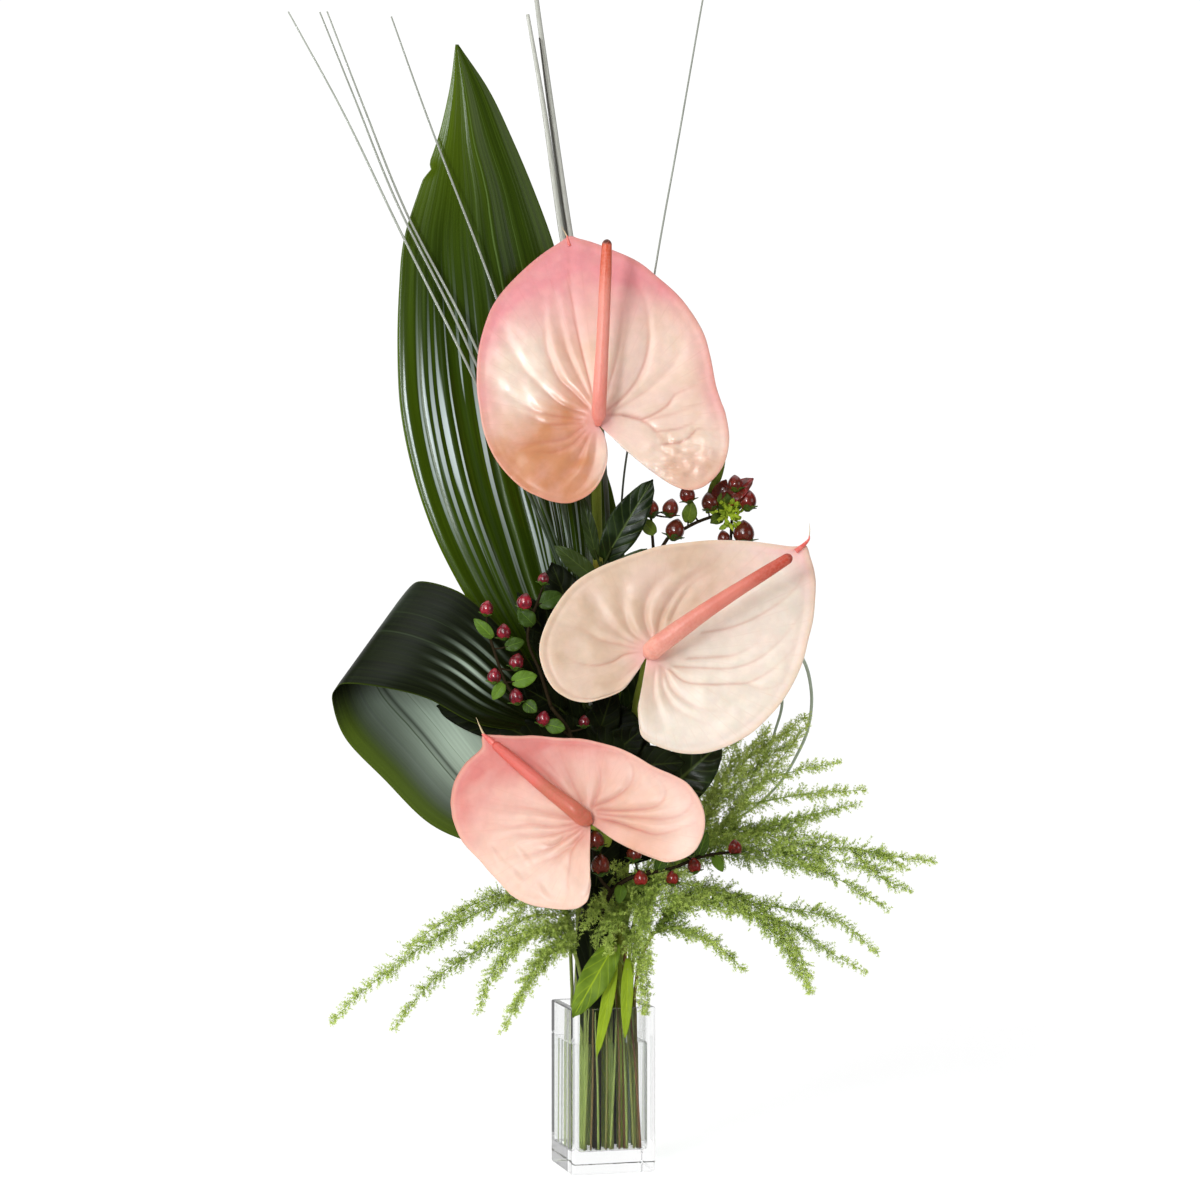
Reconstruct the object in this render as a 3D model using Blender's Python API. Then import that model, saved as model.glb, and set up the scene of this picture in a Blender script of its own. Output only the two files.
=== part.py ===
"""Arrangement of three cut anthuriums with foliage in a small square glass vase.

Sizes are in millimetres and become metres when a mesh is made. X runs to the
viewer's right, Y away from the viewer and Z up. The origin is the centre of
the vase's flat base.
"""
import math
import random

import bmesh
import bpy
from mathutils import Matrix, Vector

MM = 0.001

# Vase and water
VASE_WIDTH = 56.0
VASE_HEIGHT = 106.0
VASE_WALL = 5.0
VASE_FLOOR = 14.0
VASE_TURN = math.radians(15.0)
WATER_LEVEL = 83.0
CLEARANCE = 0.3

# Every stem stands in a five by five grid, tighter at the neck than at the floor
FLOOR_PITCH = 8.8
NECK_PITCH = 8.2
STEM_FOOT = VASE_FLOOR + CLEARANCE
NECK_HEIGHT = 112.0

# Stem radii
ANTHURIUM_STEM = 3.5
PETIOLE = 2.5
WOODY_STEM = 2.0
SPRIG_STEM = 1.6
FERN_STEM = 1.2
GRASS_BLADE = 0.6
WHORL_PITCH = 9.8

SPATHE_THICKNESS = 0.9
BRACT_COLUMNS = 3
LEAF_THICKNESS = 0.8


def clear_scene():
    for item in list(bpy.data.objects):
        bpy.data.objects.remove(item, do_unlink=True)


def material(name, color, roughness, transmission=0.0):
    found = bpy.data.materials.get(name)
    if found:
        return found
    made = bpy.data.materials.new(name)
    made.use_nodes = True
    shader = made.node_tree.nodes["Principled BSDF"]
    shader.inputs["Base Color"].default_value = (*color, 1.0)
    shader.inputs["Roughness"].default_value = roughness
    shader.inputs["Metallic"].default_value = 0.0
    shader.inputs["Transmission Weight"].default_value = transmission
    made.diffuse_color = (*color, 1.0)
    return made


def make_object(name, bm, shade_smooth=True):
    """Turn a bmesh in millimetres into an object in metres."""
    bmesh.ops.scale(bm, vec=(MM, MM, MM), verts=bm.verts)
    bmesh.ops.recalc_face_normals(bm, faces=bm.faces)
    mesh = bpy.data.meshes.new(name)
    bm.to_mesh(mesh)
    bm.free()
    for face in mesh.polygons:
        face.use_smooth = shade_smooth
    made = bpy.data.objects.new(name, mesh)
    bpy.context.scene.collection.objects.link(made)
    return made


def fuse(name, pieces, look):
    """Join overlapping closed meshes into one closed solid."""
    body = make_object(name, pieces[0])
    if len(pieces) > 1:
        extra = bpy.data.collections.new(name + "_pieces")
        bpy.context.scene.collection.children.link(extra)
        for number, bm in enumerate(pieces[1:]):
            piece = make_object(f"{name}_piece_{number}", bm)
            bpy.context.scene.collection.objects.unlink(piece)
            extra.objects.link(piece)
        union = body.modifiers.new("union", "BOOLEAN")
        union.operation = "UNION"
        union.operand_type = "COLLECTION"
        union.collection = extra
        union.solver = "MANIFOLD"
        bake(body)
        for piece in list(extra.objects):
            bpy.data.objects.remove(piece, do_unlink=True)
        bpy.data.collections.remove(extra)
    body.data.materials.clear()
    body.data.materials.append(look)
    return body


def bake(item):
    """Replace an object's mesh by the result of its modifiers."""
    graph = bpy.context.evaluated_depsgraph_get()
    graph.update()
    mesh = bpy.data.meshes.new_from_object(item.evaluated_get(graph))
    item.modifiers.clear()
    item.data = mesh


def smooth_path(knots, count):
    """Spread count points evenly along a smooth curve through the knots."""
    points = [Vector(knot) for knot in knots]
    first = points[0] * 2 - points[1]
    last = points[-1] * 2 - points[-2]
    points = [first] + points + [last]
    fine = []
    for k in range(1, len(points) - 2):
        a, b, c, d = points[k - 1:k + 3]
        for step in range(16):
            t = step / 16
            fine.append(0.5 * (2 * b + (c - a) * t + (2 * a - 5 * b + 4 * c - d) * t ** 2
                               + (3 * b - a - 3 * c + d) * t ** 3))
    fine.append(points[-2])
    runs = [0.0]
    for one, two in zip(fine, fine[1:]):
        runs.append(runs[-1] + (two - one).length)
    result = []
    k = 0
    for number in range(count):
        goal = runs[-1] * number / (count - 1)
        while k < len(fine) - 2 and runs[k + 1] < goal:
            k += 1
        share = (goal - runs[k]) / max(runs[k + 1] - runs[k], 1e-9)
        result.append(fine[k].lerp(fine[k + 1], min(max(share, 0.0), 1.0)))
    return result


def blend(table, t):
    """Read a list of values at a share t of its length."""
    place = min(max(t, 0.0), 1.0) * (len(table) - 1)
    k = min(int(place), len(table) - 2)
    return table[k] + (table[k + 1] - table[k]) * (place - k)


def tube(path, radii, sides):
    """Sweep a polygon along a path and cap both ends."""
    bm = bmesh.new()
    count = len(path)
    side = None
    rings = []
    for k, point in enumerate(path):
        before = path[max(k - 1, 0)]
        after = path[min(k + 1, count - 1)]
        along = (after - before).normalized()
        if side is None:
            side = along.orthogonal().normalized()
        side = (side - along * side.dot(along)).normalized()
        up = along.cross(side)
        radius = blend(radii, k / (count - 1))
        ring = []
        for corner in range(sides):
            angle = 2 * math.pi * corner / sides
            offset = side * math.cos(angle) + up * math.sin(angle)
            ring.append(bm.verts.new(point + offset * radius))
        rings.append(ring)
    for one, two in zip(rings, rings[1:]):
        for corner in range(sides):
            following = (corner + 1) % sides
            bm.faces.new((one[corner], one[following], two[following], two[corner]))
    bm.faces.new(list(reversed(rings[0])))
    bm.faces.new(rings[-1])
    return bm


def thicken(bm, thickness):
    """Give an open triangulated surface two like faces and a rim."""
    bmesh.ops.triangulate(bm, faces=bm.faces)
    bm.normal_update()
    normals = {vert: vert.normal.copy() for vert in bm.verts}
    faces = list(bm.faces)
    rims = [edge for edge in bm.edges if edge.is_boundary]
    twins = {}
    for vert, normal in normals.items():
        twins[vert] = bm.verts.new(vert.co - normal * thickness / 2)
        vert.co += normal * thickness / 2
    rim_pairs = []
    for edge in rims:
        loop = edge.link_loops[0]
        rim_pairs.append((loop.vert, loop.link_loop_next.vert))
    for face in faces:
        bm.faces.new([twins[vert] for vert in reversed(face.verts)])
    for one, two in rim_pairs:
        bm.faces.new((two, one, twins[one], twins[two]))
    bmesh.ops.triangulate(bm, faces=[face for face in bm.faces if len(face.verts) > 3])
    return bm


def sheet(rows, thickness, hub=None):
    """Make a thin solid from rows of points, with an optional common first point."""
    bm = bmesh.new()
    grid = [[bm.verts.new(point) for point in row] for row in rows]
    for one, two in zip(grid, grid[1:]):
        for k in range(len(one) - 1):
            bm.faces.new((one[k], one[k + 1], two[k + 1], two[k]))
    if hub is not None:
        centre = bm.verts.new(hub)
        for one, two in zip(grid, grid[1:]):
            bm.faces.new((centre, one[0], two[0]))
    return thicken(bm, thickness)


def slot(column, row, pitch, height):
    """Place of a stem in the grid, which is turned with the vase."""
    x = column * pitch
    y = row * pitch
    cos = math.cos(VASE_TURN)
    sin = math.sin(VASE_TURN)
    return Vector((x * cos - y * sin, x * sin + y * cos, height))


def stem_path(place, route, count):
    """Straight run from the vase floor to the neck, then a smooth route."""
    foot = slot(*place, FLOOR_PITCH, STEM_FOOT)
    neck = slot(*place, NECK_PITCH, NECK_HEIGHT)
    middle = foot.lerp(neck, 0.5)
    return [foot, middle] + smooth_path([neck] + list(route), count)


def spathe_points(hub, table, lean, tip_angle, lift, curl, wave, columns):
    """Rows of points of a heart-shaped bract seen square on from the front.

    table holds angle and radius pairs in the X-Z plane from one side of the
    notch round to the other. lean is the depth gained per millimetre in X and Z.
    """
    reach = max(radius for angle, radius in table)
    rows = []
    for angle, radius in table:
        turn = math.radians(angle)
        along = math.cos(turn - math.radians(tip_angle))
        row = []
        for k in range(1, columns + 1):
            run = radius * (k / columns) ** 0.85
            share = run / reach
            x = run * math.cos(turn)
            z = run * math.sin(turn)
            depth = x * lean[0] + z * lean[1]
            depth -= lift * share ** 2 * max(-along, 0.0) ** 1.5
            depth += curl * share ** 3 * max(along, 0.0) ** 2
            depth += wave * share ** 2 * math.sin(3 * turn)
            row.append(Vector((hub[0] + x, hub[1] + depth, hub[2] + z)))
        rows.append(row)
    return rows


def face_normal(lean):
    """Direction out of a bract's front face."""
    return Vector((lean[0], -1.0, lean[1])).normalized()


def table_from(pairs):
    """Add a row half-way between widely spaced rows of an outline."""
    full = [pairs[0]]
    for one, two in zip(pairs, pairs[1:]):
        if abs(two[0] - one[0]) > 18:
            full.append(((one[0] + two[0]) / 2, (one[1] + two[1]) / 2 * 1.015))
        full.append(two)
    return full


FLOWERS = {
    "top": {
        "hub": (-3.0, -14.0, 481.0),
        "lean": (0.0, 0.25),
        "tip": 98.6,
        "lift": 7.0,
        "curl": 5.0,
        "wave": 1.6,
        "outline": [
            (299.6, 6.7), (290.7, 15.4), (283.8, 23.9), (276.9, 31.4), (270, 39), (263.1, 45.5),
            (256.2, 50.5), (249.3, 54.7), (240.4, 57.9), (231.4, 60.4), (221.5, 63.7),
            (210.4, 66.6), (200.3, 69.5), (191.2, 72), (182, 74.6), (172.9, 77.3), (161.7, 83),
            (147.6, 92.2), (134.5, 102.2), (126.6, 107.5), (119.6, 111.4), (112.7, 115.9),
            (106.8, 120.2), (101.8, 124), (98.5, 127.1), (95.9, 124.6), (92.5, 122),
            (86.8, 117.5), (77.2, 111.8), (69.3, 105.9), (56.9, 99.3), (43.1, 92.2),
            (32.4, 85.9), (19, 80.5), (11.2, 80.8), (4.1, 82.7), (-7.1, 85), (-18.3, 84.7),
            (-28.4, 80.5), (-35.5, 73.6), (-39.5, 62.7), (-41.4, 45.7), (-43.4, 22.7),
        ],
        "stem": [(2, 6, 220), (-2, 14, 330), (-4, 16, 420), (-4.5, 9, 462)],
        "place": (0, 0),
        "spadix": [(-3, -24, 485), (-2, -27, 502), (0, -26, 540), (2.5, -21, 597)],
        "spadix_radii": [4.6, 4.6, 4.4, 4.1, 4.0, 3.9, 3.8, 3.2],
        "spathe_color": (0.86, 0.50, 0.42),
        "spadix_color": (0.80, 0.28, 0.18),
    },
    "mid": {
        "hub": (28.0, -55.0, 333.0),
        "lean": (0.0, 0.2),
        "tip": 34.6,
        "lift": 6.0,
        "curl": 4.0,
        "wave": 1.4,
        "outline": [
            (-100.2, 34.4), (-97.2, 43.3), (-94.2, 50.9), (-87.2, 55.6), (-79.7, 59.7),
            (-71.1, 64.9), (-62.1, 69.9), (-53.5, 73.9), (-45, 77.7), (-36, 81.9), (-26, 86.1),
            (-18, 90.2), (-9.7, 94.4), (-2, 98.6), (5.4, 102.5), (11.9, 107.6), (18.1, 112.3),
            (22.8, 116.5), (26.8, 119.3), (30.8, 121.3), (34.4, 123.2), (35.8, 118.3),
            (37.1, 114.4), (41.8, 106), (47.8, 97.6), (54.8, 89.2), (61.3, 83.1), (71.8, 75),
            (83.5, 69.6), (94.8, 65.3), (105.9, 63.3), (119, 63.4), (132, 64.7), (143, 65.3),
            (154, 66), (163, 67.1), (172, 68.3), (179, 68.3), (185, 67.2), (191.9, 65.5),
            (199.4, 62.9), (205.8, 58.9), (211.8, 54.4), (217.8, 48.4), (222.3, 41.7),
            (228.8, 33.5), (234.8, 25.5), (237.8, 9.6),
        ],
        "stem": [(14, -6, 200), (21, -8, 290), (26, -20, 318), (28, -40, 330)],
        "place": (1, -1),
        "spadix": [(29, -65, 336), (39, -71, 343), (70, -74, 365), (115.8, -73, 394)],
        "spadix_radii": [6.3, 6.4, 6.0, 5.3, 4.8, 4.3, 4.0, 3.4],
        "spathe_color": (0.90, 0.76, 0.64),
        "spadix_color": (0.83, 0.31, 0.21),
    },
    "low": {
        "hub": (-8.0, -82.0, 229.0),
        "lean": (-0.428, 0.345),
        "tip": 141.0,
        "lift": 3.0,
        "curl": 0.0,
        "wave": 1.0,
        "outline": [
            (-33.1, 8.4), (-32.7, 20.1), (-29, 35.9), (-26.9, 45.2), (-24.9, 52.5),
            (-18.9, 60.4), (-12.9, 65.9), (-6, 69), (0.3, 70.5), (6.6, 70.7), (12.8, 69.5),
            (18.2, 67.6), (23.9, 64.9), (30.7, 59.7), (37, 55.3), (43.7, 52.3), (55.9, 50.3),
            (68.8, 49.5), (82.9, 49.6), (96.2, 51.7), (110.7, 55.2), (123.9, 63.6),
            (129.5, 67.9), (134.6, 73.5), (138.8, 79.9), (142.9, 86.2), (147, 82.3), (152, 84.1),
            (157.1, 87), (165.1, 89.5), (172.5, 89.5), (176.9, 88.3), (181.7, 86.6),
            (190.4, 81.7), (200.1, 73.9), (206.3, 71.2), (213.1, 68.7), (218.8, 67.7),
            (224.8, 66.6), (234.9, 62.7), (245.8, 57.8), (252.8, 55.5), (260.5, 52.9),
            (265.5, 49.6), (268.5, 46.1), (270.5, 38.4),
        ],
        "stem": [(3, -12, 170), (3, -30, 203), (1.4, -60, 221.5)],
        "place": (0, -1),
        "spadix": [(-11.4, -90, 232), (-20, -87, 239), (-38, -73, 252), (-67.5, -51, 275.5)],
        "spadix_radii": [5.6, 5.4, 4.8, 4.4, 4.1, 3.9, 3.7, 3.0],
        "spathe_color": (0.84, 0.45, 0.38),
        "spadix_color": (0.64, 0.28, 0.18),
    },
}


def build_flower(name, flower):
    normal = face_normal(flower["lean"])
    hub = Vector(flower["hub"])
    rows = spathe_points(
        flower["hub"], table_from(flower["outline"]), flower["lean"], flower["tip"],
        flower["lift"], flower["curl"], flower["wave"], BRACT_COLUMNS)
    look = material(f"{name}_bract", flower["spathe_color"], 0.3)
    fuse(f"spathe_{name}", [sheet(rows, SPATHE_THICKNESS, hub)], look)

    # The stem's end and the spadix's foot are flat on the bract, back and front
    seat = SPATHE_THICKNESS / 2 + CLEARANCE
    end = hub - normal * seat
    bend = hub - normal * (seat + 7)
    path = stem_path(flower["place"], flower["stem"] + [bend], 11) + [end]
    stem = tube(path, [ANTHURIUM_STEM] * 2, 7)
    fuse(f"stem_anthurium_{name}", [stem], material("anthurium_stem", (0.16, 0.27, 0.06), 0.4))

    foot = hub + normal * seat
    rise = foot + normal * 5
    finger = [foot, rise] + smooth_path([rise] + flower["spadix"], 10)[1:]
    spadix = tube(finger, flower["spadix_radii"], 10)
    tip = finger[-1]
    onward = (tip - finger[-2]).normalized()
    cap = tube([tip - onward * 0.5, tip + onward * 1.6, tip + onward * 2.8],
               [flower["spadix_radii"][-1] * 0.97, flower["spadix_radii"][-1] * 0.8,
                flower["spadix_radii"][-1] * 0.35], 10)
    look = material(f"{name}_spadix", flower["spadix_color"], 0.5)
    fuse(f"spadix_{name}", [spadix, cap], look)


def ribbon_rows(stations, count, columns, pleat):
    """Rows across a long leaf from stations of centre, left and right points."""
    centres = smooth_path([station[0] for station in stations], count)
    lefts = smooth_path([station[1] for station in stations], count)
    rights = smooth_path([station[2] for station in stations], count)
    rows = []
    for left, centre, right in zip(lefts, centres, rights):
        across = (right - left).normalized()
        row = []
        for k in range(columns + 1):
            share = 2 * k / columns - 1
            base = centre.lerp(right, share) if share > 0 else centre.lerp(left, -share)
            bulge = pleat * (0.5 - k % 2) * min(1.0, (right - left).length / 30)
            out = Vector((-across.y, across.x, 0.0))
            if out.length < 0.5:
                out = Vector((0.0, 1.0, 0.0))
            row.append(base + out.normalized() * bulge)
        rows.append(row)
    return rows


# height, left x, middle x, right x and depth of the tall leaf
TALL_LEAF = [
    (272, -12, -8, -4, 14), (302, -38, -13, -1, 15), (329, -60, -18, -2, 17),
    (355, -80, -24, -3, 19), (381, -96, -31, -4, 21), (414, -112, -38, -6, 23),
    (453, -125, -47, -9, 26), (493, -133, -54, -12, 28), (533, -135, -61, -18, 29),
    (572, -134, -67, -24, 29), (605, -131, -73, -33, 30), (638, -121, -78, -45, 30),
    (671, -109, -86, -59, 28), (704, -101, -91, -75, 25), (733, -97, -96, -95, 22),
]

# height, half width and depth of the upright leaf behind the flowers
BACK_LEAF = [
    (264, 4, 44), (288, 12, 45), (328, 19, 46), (368, 20, 47), (408, 16, 48),
    (437, 10, 49), (448, 7, 50), (461, 3, 50), (476, 1, 50),
]

# centre of the folded leaf, half width, and the angle of its cross line
FOLDED_LEAF = [
    ((-15, -4, 192), 3, 42), ((-37, -3, 208), 10, 44), ((-64, 1, 224), 22, 46),
    ((-92, 5, 245), 31, 48), ((-121, 9, 278), 35, 51), ((-146, 9, 307), 37, 53),
    ((-155, 1, 331), 36, 54), ((-148, -14, 344), 40, 54), ((-138, -26, 347), 41, 53),
    ((-115, -33, 342), 39, 51), ((-91, -32, 330), 33, 50), ((-66, -27, 310), 27, 50),
    ((-47, -21, 296), 15, 52), ((-33, -16, 287), 3, 52),
]


def build_broad_leaves():
    green = material("aspidistra_green", (0.045, 0.11, 0.02), 0.35)
    dark = material("aspidistra_dark", (0.02, 0.045, 0.02), 0.25)

    stations = []
    for height, left, middle, right, depth in TALL_LEAF:
        stations.append((Vector((middle, depth, height)),
                         Vector((left, depth - 0.1 * (middle - left), height)),
                         Vector((right, depth + 0.3 * (right - middle), height))))
    blade = sheet(ribbon_rows(stations, 18, 6, 1.2), LEAF_THICKNESS)
    path = stem_path((-1, 1), [(-10, 9.5, 200), (-8.5, 13, 250), (-9, 14.2, 284)], 7)
    stalk = tube(path, [PETIOLE, PETIOLE, PETIOLE, 1.6], 6)
    fuse("aspidistra_tall", [blade, stalk], green)

    stations = []
    for height, half, depth in BACK_LEAF:
        centre = Vector((-3, depth, height))
        stations.append((centre, centre + Vector((-half, -1, 0)), centre + Vector((half, -1, 0))))
    blade = sheet(ribbon_rows(stations, 11, 3, 1.0), LEAF_THICKNESS)
    path = stem_path((0, 1), [(-3, 14, 165), (-3, 30, 222), (-3, 43, 262), (-3, 44.6, 276)], 8)
    stalk = tube(path, [PETIOLE, PETIOLE, PETIOLE, 1.6], 6)
    fuse("aspidistra_back", [blade, stalk], green)

    stations = []
    for centre, half, angle in FOLDED_LEAF:
        turn = math.radians(angle)
        across = Vector((math.cos(turn), 0, math.sin(turn)))
        centre = Vector(centre)
        stations.append((centre, centre - across * half, centre + across * half))
    blade = sheet(ribbon_rows(stations, 22, 6, 1.0), LEAF_THICKNESS)
    path = stem_path((-2, 0), [(-15.5, -4.2, 170), (-17, -4, 193), (-30, -3.5, 202)], 7)
    stalk = tube(path, [PETIOLE, PETIOLE, PETIOLE, 1.6], 6)
    fuse("aspidistra_folded", [blade, stalk], dark)


def small_leaf(base, tip, width, normal, count, cup=0.15, droop=0.06):
    """Pointed oval leaf with a slight keel, and a point inside it for its stalk."""
    base = Vector(base)
    tip = Vector(tip)
    along = tip - base
    normal = Vector(normal)
    normal = (normal - along * normal.dot(along) / along.length_squared).normalized()
    across = along.normalized().cross(normal)
    rows = []
    for k in range(count + 1):
        t = k / count
        half = max(0.9, width / 2 * math.sin(math.pi * (0.06 + 0.9 * t) ** 0.85) ** 0.8)
        centre = base + along * t - normal * droop * along.length * (2 * t - 1) ** 2
        row = []
        for share in (-1, 0, 1):
            row.append(centre + across * half * share + normal * cup * half * abs(share))
        rows.append(row)
    inside = rows[1][1].copy()
    return sheet(rows, LEAF_THICKNESS), inside


def nearest(point, lines):
    """The knot of some lines that lies closest to a point."""
    knots = [knot for line in lines for knot in line]
    return min(knots, key=lambda knot: (knot - point).length)


def stalk_between(start, end, radius):
    """Short straight stalk, or nothing where its ends already meet."""
    if (end - start).length < 0.5:
        return []
    return [tube([start, end], [radius, radius * 0.8], 3)]


FRONT = (0, -1, 0.15)

# stem slot, stem route, and leaves: start of stalk, base, tip, width
SPRIGS = {
    "leaves_upper": {
        "place": (1, 0),
        "route": [(10, 5, 200), (9, 3, 290), (3, 1, 350), (-1.5, -1, 393)],
        "color": (0.05, 0.13, 0.03),
        "leaves": [
            ((-1, -1, 388), (1, -1.5, 394), (32, -7, 446), 23),
            ((0, -0.5, 380), (3, -4, 384), (28, -12, 401), 9),
            ((0, -0.5, 376), (-4, -4, 381), (-31, -8, 403), 13),
            ((-1.5, -1, 388), (-4, -1, 394), (-14, -5, 437), 9),
            ((9.8, 4.6, 205), (34, -11, 238), (76, -20, 276), 34),
            ((9, 3, 285), (14, 4, 296), (44, 2, 330), 24),
        ],
    },
    "leaves_center": {
        "place": (-1, 0),
        "route": [(-9, -4, 180), (-10, -7, 240), (-12, -12, 290), (-13, -14, 345)],
        "color": (0.03, 0.07, 0.02),
        "leaves": [
            ((-13, -13.5, 335), (-14, -15, 342), (-33, -20, 392), 28),
            ((-13, -13, 318), (-9, -15, 325), (10, -21, 378), 27),
            ((-12, -12, 285), (-17, -10, 292), (-52, -3, 322), 24),
            ((-11, -9.5, 262), (-7, -14, 268), (7, -24, 312), 22),
            ((-10, -7, 235), (-15, -9, 240), (-50, -17, 262), 24),
            ((-10, -6, 215), (-8, -13, 222), (6, -26, 250), 22),
        ],
    },
    "leaves_lime": {
        "place": (0, -2),
        "route": [(5, -18, 128), (7, -34, 146), (7.5, -44, 149), (8, -50, 147)],
        "color": (0.30, 0.52, 0.05),
        "leaves": [
            ((7.5, -46, 148), (8, -50, 150), (-17, -61, 106), 16),
            ((8, -48, 146), (8, -51, 141), (-4, -60, 80), 8),
            ((7, -36, 146), (16, -48, 141), (14, -60, 92), 8),
        ],
    },
}


def build_sprig(name, sprig):
    path = stem_path(sprig["place"], sprig["route"], 9)
    pieces = [tube(path, [SPRIG_STEM, SPRIG_STEM, 1.1], 5)]
    for start, base, tip, width in sprig["leaves"]:
        leaf, inside = small_leaf(base, tip, width, FRONT, 4)
        pieces += stalk_between(nearest(Vector(start), [path]), inside, 1.0)
        pieces.append(leaf)
    fuse(name, pieces, material(name, sprig["color"], 0.4))


# Berries: centre and radius. Leaves: base, tip and width. Forks: points of side twigs.
BERRIES = {
    "hypericum_left": {
        "place": (-1, -1),
        "route": [(-8, -19, 180), (-14, -32, 240), (-20, -40, 280), (-33, -44, 300)],
        "forks": [
            [(-20, -40, 280), (-45, -44, 300), (-60, -47, 312), (-70, -45, 338), (-74, -42, 352)],
            [(-33, -44, 300), (-40, -44, 322), (-48, -42, 345), (-40, -39, 372)],
        ],
        "berries": [
            ((-74, -42, 362), 4.4), ((-50, -41, 366), 5.0), ((-38, -38, 381), 3.6),
            ((-63, -44, 347), 4.6), ((-55, -46, 328), 4.8), ((-69, -47, 319), 4.4),
            ((-55, -47, 306), 4.6), ((-38, -45, 292), 4.4), ((-12, -41, 290), 3.6),
        ],
        "leaves": [
            ((-70, -46, 344), (-82, -45, 356), 8), ((-41, -40, 365), (-26, -38, 372), 12),
            ((-44, -42, 352), (-54, -43, 362), 11), ((-62, -47, 338), (-50, -46, 342), 9),
            ((-58, -48, 316), (-42, -50, 320), 11), ((-63, -49, 315), (-70, -50, 305), 8),
            ((-50, -48, 303), (-42, -51, 297), 9), ((-36, -46, 289), (-24, -48, 286), 10),
        ],
        "color": (0.30, 0.03, 0.04),
    },
    "hypericum_right": {
        "place": (1, 1),
        "route": [(8, 18, 200), (14, 24, 280), (24, 21, 345), (34, 10, 392), (42, 3, 408)],
        "forks": [
            [(34, 10, 392), (32, 5, 412), (31, 1, 424)],
            [(42, 3, 408), (60, 4, 418), (76, 3, 424), (92, 1, 431)],
            [(24, 21, 345), (52, 18, 370), (80, 10, 396), (84, 6, 420)],
        ],
        "berries": [
            ((31, 0, 427), 5.0), ((44, 0, 427), 4.8), ((55, -1, 436), 4.6),
            ((47, 2, 413), 5.6), ((70, 2, 431), 5.2), ((86, -1, 443), 4.4),
            ((94, 0, 432), 5.4), ((92, 4, 411), 6.2), ((79, 6, 408), 3.8),
        ],
        "leaves": [
            ((34, 3, 411), (24, 1, 421), 9), ((55, 2, 418), (58, -1, 432), 10),
            ((68, 3, 424), (73, -1, 449), 6), ((80, 3, 425), (78, -3, 438), 12),
            ((78, 3, 423), (70, -5, 418), 8), ((72, 3, 440), (79, -1, 460), 5),
        ],
        "color": (0.16, 0.035, 0.02),
    },
    "hypericum_low": {
        "place": (-1, -2),
        "route": [(-2, -26, 150), (3, -42, 178), (14, -48, 190), (30, -50, 196)],
        "forks": [
            [(6, -44, 182), (-1, -49, 190), (-5, -58, 202), (-6, -64, 212)],
            [(22, -49, 193), (44, -49, 198), (62, -48, 205), (82, -46, 208)],
        ],
        "berries": [
            ((-4, -51, 198), 4.6), ((-6, -65, 214), 4.2), ((20, -50, 207), 5.0),
            ((24, -52, 191), 4.6), ((53, -48, 210), 4.6), ((58, -49, 199), 4.4),
            ((44, -49, 191), 4.2), ((84, -46, 210), 4.6),
        ],
        "leaves": [
            ((60, -48, 204), (66, -50, 221), 8), ((34, -50, 196), (40, -53, 208), 8),
            ((12, -48, 188), (10, -52, 176), 8), ((70, -48, 206), (76, -50, 196), 7),
        ],
        "color": (0.22, 0.03, 0.03),
    },
}


def berry(centre, radius):
    """Rounded fruit drawn to a blunt point at the top."""
    bm = bmesh.new()
    bmesh.ops.create_uvsphere(bm, u_segments=6, v_segments=4, radius=radius)
    for vert in bm.verts:
        if vert.co.z > 0:
            narrow = 1 - 0.28 * (vert.co.z / radius) ** 2
            vert.co.x *= narrow
            vert.co.y *= narrow
            vert.co.z *= 1.25
    bmesh.ops.translate(bm, verts=bm.verts, vec=centre)
    return bm


def build_spray(name, spray):
    path = stem_path(spray["place"], spray["route"], 9)
    pieces = [tube(path, [WOODY_STEM, WOODY_STEM, 1.2], 5)]
    lines = [path[4:]]
    for fork in spray["forks"]:
        line = smooth_path(fork, 2 * len(fork))
        line[0] = nearest(line[0], [path])
        pieces.append(tube(line, [1.2, 0.9], 3))
        lines.append(line)
    for centre, radius in spray["berries"]:
        centre = Vector(centre)
        pieces += stalk_between(nearest(centre, lines), centre, 0.8)
        pieces.append(berry(centre, radius))
    for base, tip, width in spray["leaves"]:
        leaf, inside = small_leaf(base, tip, width, FRONT, 2)
        pieces += stalk_between(nearest(Vector(base), lines), inside, 0.8)
        pieces.append(leaf)
    fuse(name, pieces, material(name, spray["color"], 0.35))


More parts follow.
